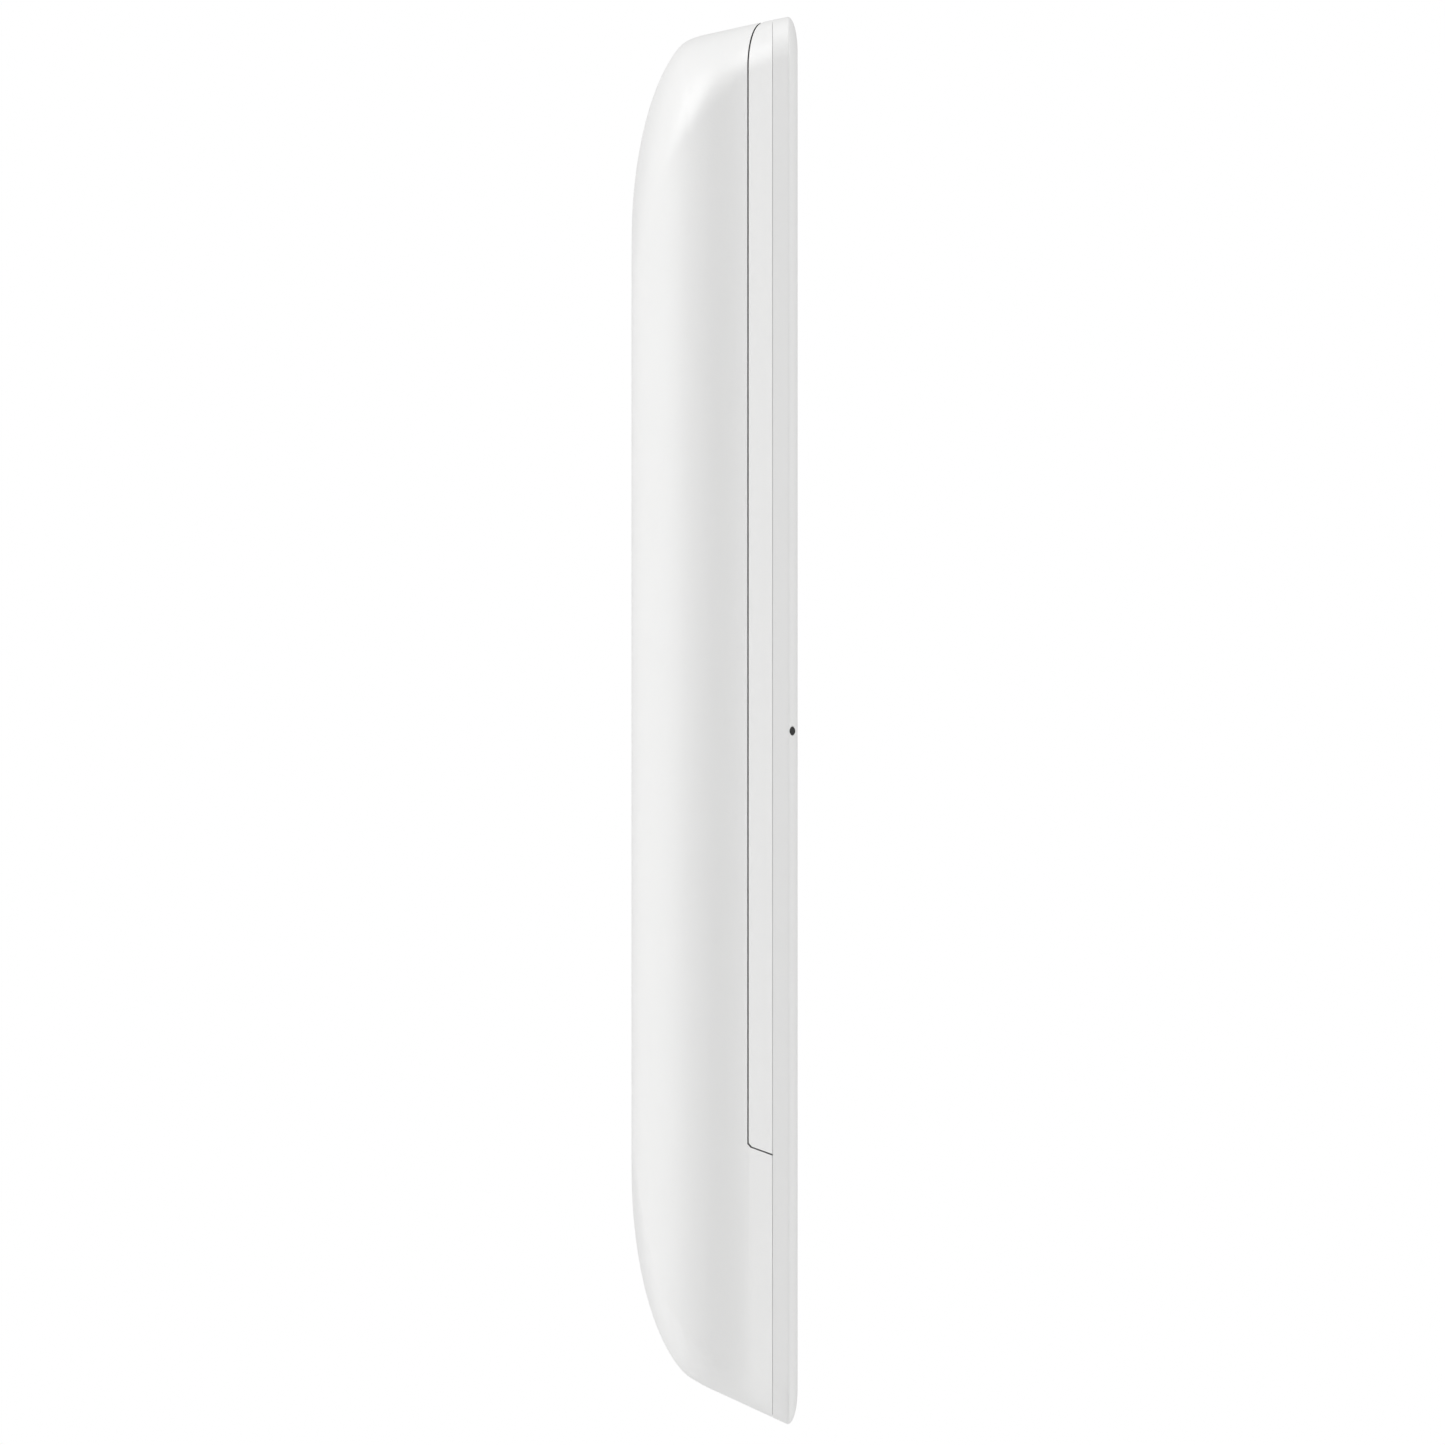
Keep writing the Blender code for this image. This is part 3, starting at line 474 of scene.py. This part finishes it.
# %% Cut and smooth
def combine(obj, operation, *tools):
    """Applies each tool at once and throws it away, so that the finished mesh stands alone."""
    for tool in tools:
        modifier = obj.modifiers.new("shape", "BOOLEAN")
        modifier.operation, modifier.object, modifier.solver = operation, tool, "EXACT"
        graph = bpy.context.evaluated_depsgraph_get()
        mesh = bpy.data.meshes.new_from_object(obj.evaluated_get(graph))
        obj.modifiers.clear()
        obj.data = mesh
        bpy.data.objects.remove(tool)
    return obj


def smooth(obj, material, angle=28.0, bevel=0.0, segments=2):
    """Gives the finished piece its material, a small edge radius and smooth shading."""
    obj.data.materials.clear()
    obj.data.materials.append(material)
    obj.data.polygons.foreach_set("material_index", [0] * len(obj.data.polygons))
    if bevel:
        edge = obj.modifiers.new("edge_radius", "BEVEL")
        edge.width, edge.segments, edge.limit_method = bevel * MM, segments, "ANGLE"
        edge.angle_limit = math.radians(angle)
    obj.data.shade_smooth()
    obj.data.set_sharp_from_angle(angle=math.radians(angle))
    return obj


# %% [markdown]
# ## The parting line
# The cover and its neighbour meet along one line. It runs down the side, swings back over the top
# corner and jogs back at the chin. Each shell could be cut by its own edges, but the two would have to
# be kept equal. So one outline is drawn from the side and pulled right across the width, and every
# shell that meets the line is cut with it.

# %% Parting line
SEAM_Y, SEAM_TOP_Y, SEAM_TURN_Z, SEAM_TOP_Z = -4.73, -3.4, 62.3, 66.5
SEAM_GAP, FACE_GAP, NEST_GAP = 0.14, 0.03, 0.3
LIP_INSET, LIP_REACH, LIP_GAP = 0.55, 1.0, 0.15
JOG_Z, JOG_SLOPE, JOG_SHIFT = -40.65, 0.36, 0.65
REAR_Y = LAND_DEPTH - DEPTH
FAR_BELOW, FAR_ABOVE = -80.0, 80.0      # heights well past the form's ends
FAR_FRONT, FAR_BEHIND = -30.0, 8.0      # depths well past its faces


def seam_line(shift, steps=14):
    """(y, z) points down the parting line, moved forward by shift."""
    points = [(SEAM_TOP_Y - shift, FAR_ABOVE)]
    for i in range(steps + 1):
        angle = math.radians(90 * i / steps)
        points.append((SEAM_Y + (SEAM_TOP_Y - SEAM_Y) * (1 - math.sin(angle)) - shift,
                       SEAM_TURN_Z + (SEAM_TOP_Z - SEAM_TURN_Z) * math.cos(angle)))
    drop = shift * JOG_SHIFT
    points.append((SEAM_Y - shift, JOG_Z + 0.35 - drop))
    points.append((SEAM_Y + 0.3 - shift, JOG_Z - drop))
    run = FAR_BEHIND - SEAM_Y - 0.3 + shift
    points.append((FAR_BEHIND, JOG_Z - drop - JOG_SLOPE * run))
    return points


def ahead_of_seam(shift):
    """Everything in front of the parting line and below the jog."""
    corners = [(FAR_BEHIND, FAR_BELOW), (FAR_FRONT, FAR_BELOW), (FAR_FRONT, FAR_ABOVE)]
    return across("ahead", seam_line(shift) + corners)


def behind_seam(shift):
    """Everything behind the parting line and above the jog."""
    return across("behind", seam_line(shift) + [(FAR_BEHIND, FAR_ABOVE)])


print("points down the parting line:", len(seam_line(0)))

# %% [markdown]
# ## The front cover
# A hollow moulding: the outer form with an inner form taken out of it. Solidify would make the same
# wall from an open skin, but its rim would follow the skin and not the parting line. The openings are
# cut next, the small sound hole before the window and the button beside it: cut after them, it leaves
# open edges. The row of slots under the chin lets the speaker be heard.

# %% Front cover
COVER_WALL, HOUSING_WALL, HOUSING_BOTTOM_Z = 1.6, 1.2, -50.0
CAMERA_Z, WINDOW_LOW_Z, WINDOW_RADIUS = 31.5, 16.5, 11.5
BUTTON_Z, MIC_Z, RESET_X = -28.0, -6.0, 10.0
BUTTON_WELL = 12.4                      # radius of the opening for the button and its ring


def window_outline(radius):
    """Two half circles and two straight sides, as (x, z) points."""
    angles = [math.pi * i / 48 for i in range(49)]
    top = [(radius * math.cos(a), CAMERA_Z + radius * math.sin(a)) for a in angles]
    low = [(-x, WINDOW_LOW_Z - (z - CAMERA_Z)) for x, z in top]
    return top + low


cover = form("front_cover_shell")
combine(cover, "DIFFERENCE", form("hollow", inset=COVER_WALL, last=SKIRT_DEPTH, extend=8.0))
shells_meet_y = REAR_Y - FACE_GAP / 2
rebate = form("rebate", inset=LIP_INSET - LIP_GAP)
combine(rebate, "DIFFERENCE", ahead_of_seam(LIP_REACH + LIP_GAP))
combine(cover, "DIFFERENCE", behind_seam(SEAM_GAP / 2),
        side_block("chin_rear", shells_meet_y, 10.0, FAR_BELOW, 0.0), rebate,
        slab("sound", circle(0, MIC_Z, 0.6, 24), "Y", -20, -10),
        slab("window", window_outline(WINDOW_RADIUS + NEST_GAP), "Y", -20, -10),
        slab("button", circle(0, BUTTON_Z, BUTTON_WELL), "Y", -20, -10),
        slab("lock", round_slot(0, -3.1, 3.7, 5.1, 3.0), "Z", -72, -60.9))
for x in [side * (6.4 + 3.0 * i) for side in (-1, 1) for i in range(4)]:
    combine(cover, "DIFFERENCE", slab("slot", round_slot(x, -6.7, 0.65, 2.3, 0.64), "Z", -70, -58))
smooth(cover, WHITE)
print("front cover faces:", len(cover.data.polygons))

# %% [markdown]
# ## The housing
# The cover nests over it with a gap of a third of a millimetre. Only its rear band is seen from
# outside, flush with the form. It is joined from three slices of the same form: a smaller one for the
# body, a full-size one for the band, and one between them for the lip under the cover's edge.

# %% Housing
inset = COVER_WALL + NEST_GAP
housing = form("housing_shell", inset=inset, last=SKIRT_DEPTH, extend=4.0)
combine(housing, "DIFFERENCE", side_block("chin", -20, 5, FAR_BELOW, HOUSING_BOTTOM_Z))
skirt = form("skirt")
combine(skirt, "DIFFERENCE", ahead_of_seam(-SEAM_GAP / 2))
lip = form("lip", inset=LIP_INSET, last=SKIRT_DEPTH, extend=1.2)
combine(lip, "DIFFERENCE", ahead_of_seam(LIP_REACH))
combine(housing, "UNION", skirt, lip)
combine(housing, "DIFFERENCE", side_block("rear", shells_meet_y, 10, FAR_BELOW, FAR_ABOVE))
print("housing outside faces:", len(housing.data.polygons))

# %% [markdown]
# ### Inside the housing
# Its inside is one more, smaller slice of the form. Where a screw needs a boss, the boss is first taken
# out of that slice, so that it stays standing when the slice is taken out of the housing. Then come
# the wells for the lens and the call button, and a hole for each screw.

# %% Housing inside
hollow = form("hollow", inset=inset + HOUSING_WALL, last=9.3, extend=12.0)
combine(hollow, "DIFFERENCE", side_block("wall", -20, 12, FAR_BELOW, HOUSING_BOTTOM_Z + HOUSING_WALL))
SCREW_PLACES = [(x, z) for x in (-13.0, 13.0) for z in (52.0, -43.0)]
BOARD_SCREW_PLACES = [(-13.6, 19.0), (13.6, -36.0)]
for x, z in SCREW_PLACES:
    combine(hollow, "DIFFERENCE", slab("boss", circle(x, z, 3.0, 48), "Y", -20, -3.2))
for x, z in BOARD_SCREW_PLACES:
    combine(hollow, "DIFFERENCE", slab("boss", circle(x, z, 2.2, 48), "Y", -20, -9.3))
combine(housing, "DIFFERENCE", hollow)
combine(housing, "UNION", slab("floor", circle(0, BUTTON_Z, 13.6), "Y", -13.4, -11.2))
holes = [(0, BUTTON_Z, BUTTON_WELL, -16, -12.4), (0, BUTTON_Z, 2.3, -14, -10), (0, CAMERA_Z, 7.4, -15, -11.6),
         (0, MIC_Z, 2.7, -15, -11), (RESET_X, MIC_Z, 1.8, -15, -11),
         (-5.0, WINDOW_LOW_Z, 2.0, -15, -11), (5.0, WINDOW_LOW_Z, 2.0, -15, -11)]
holes += [(x, z, 1.25, -8.0, -1.0) for x, z in SCREW_PLACES]
holes += [(x, z, 0.95, -11.2, -8.0) for x, z in BOARD_SCREW_PLACES]
for x, z, radius, front, rear in holes:
    combine(housing, "DIFFERENCE", slab("hole", circle(x, z, radius, 64), "Y", front, rear))
speaker_port = [(-7.4, -10.4), (7.4, -10.4), (7.4, -6.6), (-7.4, -6.6)]
combine(housing, "DIFFERENCE", slab("port", speaker_port, "Z", -52, -47))
smooth(housing, WHITE)
print("housing faces:", len(housing.data.polygons))

# %% [markdown]
# ## The rear cover
# It closes the housing from behind and carries the recess for the bracket, the well for the wires and
# the lug for the security screw. Its outside is the last slice of the form, and its inside is built up
# from rounded blocks, because a moulder would draw it so.

# %% Rear cover
RECESS_DEPTH, WELL_DEPTH, WELL_LOW_Z, WELL_HIGH_Z = 1.5, 6.5, -19.0, 9.0
SLOT_HIGH_Z, SLOT_LOW_Z, HOOK_X, LOCK_Y, FLOOR_Y = 46.0, -40.0, 9.0, -5.1, -2.9


def box_xz(low_x, low_z, high_x, high_z, radius, front, rear):
    """A rounded block lying across Y."""
    middle = ((low_x + high_x) / 2, (low_z + high_z) / 2)
    half = ((high_x - low_x) / 2, (high_z - low_z) / 2)
    return slab("block", round_slot(*middle, *half, radius), "Y", front, rear)


def lug(inset, half_x, front, rear, low, high, radius):
    """A rounded post along Z, cut off by the outer form."""
    post = slab("post", round_slot(0, (front + rear) / 2, half_x, (rear - front) / 2, radius), "Z", low, high)
    return combine(form("lug", inset=inset), "INTERSECT", post)


rear = form("rear_cover_shell")
front_y = REAR_Y + FACE_GAP / 2
combine(rear, "DIFFERENCE", side_block("front", -30, front_y, FAR_BELOW, FAR_ABOVE))
combine(rear, "UNION", box_xz(-16.9, -46.9, 16.9, 61.1, 2.0, FLOOR_Y, front_y + 0.5),
        box_xz(-11.2, WELL_LOW_Z - 1.2, 11.2, WELL_HIGH_Z + 1.2, 1.5, -WELL_DEPTH - 1.2, -2.0),
        slab("upper_well", circle(0, SLOT_HIGH_Z, 6.2), "Y", -5.2, -2.0),
        slab("lower_well", circle(0, SLOT_LOW_Z, 6.2), "Y", -5.2, -2.0),
        box_xz(-5.2, -60.6, 5.2, -52.0, 1.0, -8.2, -2.0),
        lug(0.05, 3.4, -7.9, -2.2, -75, -60.0, 2.8))
print("rear cover outside faces:", len(rear.data.polygons))

# %% [markdown]
# ### Recess, wells and holes
# The bracket fills the wide recess, and its two hooks catch in slots at the top. The wires come into the
# deep well, and the small wells leave room for the heads of the wall screws.

# %% Rear cover recess and holes
combine(rear, "DIFFERENCE", box_xz(-15.5, -60.6, 15.5, 61.5, 2.5, -RECESS_DEPTH, 4))
for x in (-HOOK_X, HOOK_X):
    combine(rear, "DIFFERENCE", box_xz(x - 3.6, 60.3, x + 3.6, 63.4, 0.3, -1.75, -0.4))
combine(rear, "DIFFERENCE", box_xz(-10, WELL_LOW_Z, 10, WELL_HIGH_Z, 1.0, -WELL_DEPTH, 4),
        slab("head_room", circle(0, SLOT_HIGH_Z, 5.0), "Y", -4.2, 2),
        slab("head_room", circle(0, SLOT_LOW_Z, 5.0), "Y", -4.2, 2),
        box_xz(-4, -59.4, 4, -53.2, 0.3, -7.0, 4),
        slab("thread", circle(0, LOCK_Y, 1.5, 48), "Z", -70, -58),
        slab("counterbore", circle(0, LOCK_Y, 2.2, 64), "Z", -75, -62.6))
for x, z in SCREW_PLACES:
    combine(rear, "DIFFERENCE", slab("clear", circle(x, z, 1.3, 48), "Y", -4, 0),
            slab("counterbore", circle(x, z, 2.3, 64), "Y", -2.4, 2))
for x in (-5.0, 5.0):
    combine(rear, "DIFFERENCE", slab("terminal", circle(x, 3.5, 1.7, 48), "Y", -9, -5))
print("rear cover faces with its wells:", len(rear.data.polygons))

# %% [markdown]
# ### The breather
# A sealed housing breathes as it warms and cools, so it has one small hole beside the rear edge, plugged
# with a dark membrane. The hole leans at 45 degrees, because it opens square out of the rounded rear
# edge. A straight slab is made first and then turned into place.

# %% Breather
VENT_RADIUS, VENT_MOUTH = 0.45, Vector((22.66, -0.42, -1.0))
vent = slab("vent", circle(0, 0, VENT_RADIUS, 48), "Z", -1.9, 0.8)
lean = Vector((0, 0, 1)).rotation_difference(Vector((1, 1, 0))).to_matrix().to_4x4()
vent.data.transform(Matrix.Translation(VENT_MOUTH * MM) @ lean)
combine(rear, "DIFFERENCE", vent)
smooth(rear, WHITE)
print("rear cover faces:", len(rear.data.polygons))

# %% [markdown]
# ## The window
# A flat plate of black acrylic fills the long opening, with its edge rolled over so that it meets the
# cover softly. It is flat and has one outline, so an outline pulled to its thickness and a Bevel
# modifier are enough.

# %% Window
window = slab("window_plate", window_outline(WINDOW_RADIUS), "Y", -15.65, -14.1)
combine(window, "DIFFERENCE", slab("hole", circle(0, CAMERA_Z, 7.3, 128), "Y", -17, -12))
smooth(window, ACRYLIC, bevel=0.25, segments=4)
print("window faces:", len(window.data.polygons))

# %% [markdown]
# ## The lens
# A lens is a stack of round parts on one axis: a black barrel, a bulging front glass, a dark coated
# inner lens and the iris ring round it. Each is a profile turned about that axis. The two glass
# profiles are short arcs, worked out from their radius and height. A Screw modifier would turn the
# profiles too, but its doubled points on the axis would have to be merged. Turned here, a profile has
# one point on the axis from the start.

# %% Turned pieces
def turned(name, profile, centre, material, steps=128):
    """A piece turned about the Y axis from a closed ring or an axis-to-axis (radius, y) profile."""
    bm = bmesh.new()
    closed = profile[0] == profile[-1]
    rows = []
    for radius, y in (profile[:-1] if closed else profile):
        if radius == 0:
            rows.append([bm.verts.new((0, y * MM, 0))])
        else:
            rows.append([bm.verts.new((x * MM, y * MM, z * MM)) for x, z in circle(0, 0, radius, steps)])
    pairs = list(zip(rows, rows[1:])) + ([(rows[-1], rows[0])] if closed else [])
    for a, b in pairs:
        for i in range(steps):
            j = (i + 1) % steps
            corners = [a[i % len(a)], a[j % len(a)], b[j % len(b)], b[i % len(b)]]
            bm.faces.new(list(dict.fromkeys(corners)))
    obj = link(name, bm)
    obj.data.transform(Matrix.Translation(Vector(centre) * MM))
    return smooth(obj, material, angle=40.0)


LENS_AXIS, BUTTON_AXIS = (0, 0, CAMERA_Z), (0, 0, BUTTON_Z)
print("turning axes:", LENS_AXIS, BUTTON_AXIS)

# %% [markdown]
# ### The lens pieces
# The barrel's rim is stepped and lightly rounded, as a moulded ring is. The front glass stands a little
# proud of it, and the inner lens and the iris sit deeper, so that the lens has real depth from any side.

# %% Lens
def dome(radius, rim_y, height):
    """(radius, y) points down one side of a dome, from near its top to its rim."""
    angles = [math.radians(a) for a in range(10, 91, 8)]
    return [(radius * math.sin(a), rim_y - height * math.cos(a)) for a in angles]


barrel = turned("lens_barrel_ring",
                [(0, -12.6), (4.3, -12.6), (4.3, -14.0), (5.9, -14.0), (5.9, -14.7), (6.1, -15.15),
                 (6.3, -15.25), (6.75, -15.25), (6.9, -15.1), (6.9, -12.9), (4.3, -10.6), (4.3, -7.1),
                 (0, -7.1)], LENS_AXIS, BLACK)
glass = turned("front_lens", [(0, -15.55)] + dome(5.6, -14.6, 0.95) + [(5.6, -14.15), (0, -14.15)],
               LENS_AXIS, LENS)
inner = turned("inner_lens", [(0, -13.5)] + dome(3.4, -12.75, 0.75) + [(3.4, -12.65), (0, -12.65)],
               LENS_AXIS, INNER_LENS)
iris = turned("lens_iris",
              [(3.5, -12.65), (3.5, -13.2), (3.75, -13.3), (4.2, -13.9), (4.2, -12.65), (3.5, -12.65)],
              LENS_AXIS, BLACK)
print("lens pieces:", barrel.name, glass.name, inner.name, iris.name)

# %% [markdown]
# ## The call button and its light ring
# The button's face is very slightly dished, to guide a fingertip, and its rim is a quarter circle. The
# ring round it is a clear plastic guide that carries light up from the board, with a softly squared
# front so that it glows evenly across its width.

# %% Button and ring
DISH_RADIUS, RIM_ROUND = 8.9, 0.8
dish = [(DISH_RADIUS * i / 10, -15.4 - 0.2 * (i / 10) ** 3) for i in range(1, 11)]
rim = [(DISH_RADIUS + RIM_ROUND * math.sin(math.radians(a)), -14.8 - RIM_ROUND * math.cos(math.radians(a)))
       for a in range(15, 91, 15)]
stem = [(9.7, -14.0), (1.8, -14.0), (1.8, -11.35), (0, -11.35)]
button = turned("call_button_cap", [(0, -15.4)] + dish + rim + stem, BUTTON_AXIS, BUTTON_WHITE)

RING_RADIUS, RING_HALF, SQUARENESS = 11.05, 1.0, 0.5
ring_round = [(RING_RADIUS + RING_HALF * math.copysign(abs(math.cos(t)) ** SQUARENESS, math.cos(t)),
               -15.4 - 0.3 * math.sin(t)) for t in [math.pi * i / 16 for i in range(17)]]
ring_foot = [(RING_RADIUS - RING_HALF, -12.55), (RING_RADIUS + RING_HALF, -12.55)]
ring = turned("button_light_guide", ring_round + ring_foot + ring_round[:1], BUTTON_AXIS, GUIDE)
print("button and ring:", button.name, ring.name)

# %% [markdown]
# ## Riding and replacing
# Each finished piece stands for one plain frame piece and moves with its body. Everything else keeps
# its frame shape and only takes a finish.

# %% Attach the pieces
MAIN = "housing_unit"
for piece, node, body, material_slot in (
        (cover, "front_cover", "front_cover", "white_plastic"), (housing, "housing", MAIN, "white_plastic"),
        (rear, "rear_cover", MAIN, "white_plastic"), (window, "lens_window", MAIN, "black_acrylic"),
        (barrel, "lens_barrel", MAIN, "black_plastic"), (glass, "lens_glass", MAIN, "lens_glass"),
        (button, "call_button", "call_button", "white_plastic"),
        (ring, "button_light_ring", MAIN, "light_guide")):
    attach(piece, body)
    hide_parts(node)

for piece, material_slot in ((inner, "lens_glass"), (iris, "black_plastic")):
    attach(piece, MAIN)

# %% [markdown]
# ## Finishes for the pieces that keep their frame shape
# Screws, boards, seals and the wall bracket are already the right shape. Each takes its finish, and a
# weld so that its faces share their edges. The metal and moulded ones also take a small edge radius,
# because no real edge is perfectly sharp, and a sharp one catches no light.

# %% Finish the frame pieces
KEPT = {
    "zinc": (ZINC, 0.12, ("wall_bracket", "security_screw")),
    "tin": (TIN, 0.08, ("shield_can", "wifi_module", "microphone", "speaker_magnet", "speaker_mesh",
                        "board_screw_upper", "board_screw_lower", "housing_screw_left_top",
                        "housing_screw_right_top", "housing_screw_left_bottom",
                        "housing_screw_right_bottom")),
    "brass": (BRASS, 0.08, ("terminal_plate_left", "terminal_plate_right", "terminal_screw_left",
                            "terminal_screw_right", "wifi_antenna")),
    "black": (BLACK, 0.1, ("lens_holder", "button_switch", "reset_switch", "speaker_frame", "power_inductor",
                           "supercapacitor")),
    "rubber": (RUBBER, 0.0, ("reset_button", "microphone_boot", "vent_plug")),
    "silicone": (SILICONE, 0.0, ("rear_seal", "button_gasket")),
    "glass": (LENS, 0.0, ("ir_cut_filter",)),
    "diodes": (DIODE, 0.3, ("ir_led_left", "ir_led_right")),
    "paper": (PAPER, 0.0, ("speaker_cone",)),
    "board": (BOARD, 0.05, ("main_board", "sensor_board")),
    "ribbon": (RIBBON, 0.0, ("camera_flex",)),
}
for label, (material, radius, names) in KEPT.items():
    for name in names:
        node = NODES[name]
        if not node.material_slots:
            node.data.materials.append(material)
        for material_slot in node.material_slots:
            material_slot.material = material
        weld = node.modifiers.new("weld", "WELD")
        weld.merge_threshold = 0.000002
        if radius:
            edge = node.modifiers.new("edge_radius", "BEVEL")
            edge.width, edge.segments, edge.limit_method = radius * MM, 2, "ANGLE"
            edge.angle_limit = math.radians(40)
    print(label, len(names))

# %% [markdown]
# ## Floor
# A doorbell hangs on a wall, so nothing touches the floor. A wide pale disc a little below it only
# bounces light back up, as the table of a photo studio would.

# %% Floor
FLOOR_RADIUS, FLOOR_Z = 1.2, -0.14
bm = bmesh.new()
bmesh.ops.create_circle(bm, cap_ends=True, segments=128, radius=FLOOR_RADIUS)
PALE = finish("pale_floor", (0.84, 0.84, 0.84), 0.7, grain=2.0, depth=0.02, marks=0.0)
floor = link("floor", bm, PALE)
floor.location = (0, 0, FLOOR_Z)
print("floor at", FLOOR_Z, "m")

# %% [markdown]
# ## Light
# White plastic shows its form only by slight changes of tone. A large soft light in front and to one
# side brightens the rounded front, and lets the flat side fall to a light grey. A weaker one above
# draws the sloped top, and one behind lifts the rear edge. The even light of the world fills in the
# rest. It looks pure white to the camera, but it lights the plastic less strongly than that.

# %% Light
def softbox(name, place, power, size=0.8):
    """A square area light at a place, facing the doorbell."""
    lamp = bpy.data.lights.new(name, "AREA")
    lamp.shape, lamp.size, lamp.energy = "SQUARE", size, power
    obj = bpy.data.objects.new(name, lamp)
    bpy.context.scene.collection.objects.link(obj)
    obj.location = place
    obj.rotation_euler = (Vector((0, 0, 0)) - Vector(place)).to_track_quat("-Z", "Y").to_euler()
    return obj


softbox("front_softbox", (0.4, -1.1, 0.6), 9.4)
softbox("top_softbox", (0.1, -0.2, 1.2), 3.4)
softbox("wall_side_softbox", (0.3, 1.2, 0.6), 7.5)

world = bpy.data.worlds.new("studio")
bpy.context.scene.world = world
world.use_nodes = True
sky = world.node_tree
backdrop = sky.nodes["Background"]
backdrop.inputs["Color"].default_value = (1, 1, 1, 1)
rays = sky.nodes.new("ShaderNodeLightPath")
SEEN, LIGHTING = 1.0, 0.43
extra = math_node(sky, "MULTIPLY", rays.outputs["Is Camera Ray"], SEEN - LIGHTING)
strength = math_node(sky, "ADD", LIGHTING, extra)
sky.links.new(strength, backdrop.inputs["Strength"])
bpy.context.scene.view_settings.view_transform = "Standard"

# %% [markdown]
# ## Camera
# The doorbell is seen straight from its side. A long lens from far away keeps the outline flat, so
# its slopes and radii can be read without perspective.

# %% Camera
CAMERA_DISTANCE, FRAME_HEIGHT = 5.0, 0.1383
MIDDLE_Y, MIDDLE_Z = -0.00716, -0.00019
lens = bpy.data.cameras.new("side_view")
lens.sensor_width = 36.0
lens.lens = lens.sensor_width * CAMERA_DISTANCE / FRAME_HEIGHT
lens.clip_start, lens.clip_end = 0.01, 20.0
camera = bpy.data.objects.new("side_view", lens)
bpy.context.scene.collection.objects.link(camera)
camera.location = (CAMERA_DISTANCE, MIDDLE_Y, MIDDLE_Z)
camera.rotation_euler = (math.radians(90), 0, math.radians(90))
bpy.context.scene.camera = camera
print("focal length:", round(lens.lens), "mm")

# %% [markdown]
# ## Finish
# Last, the scene is brought up to date.

# %% Update the scene
bpy.context.view_layer.update()
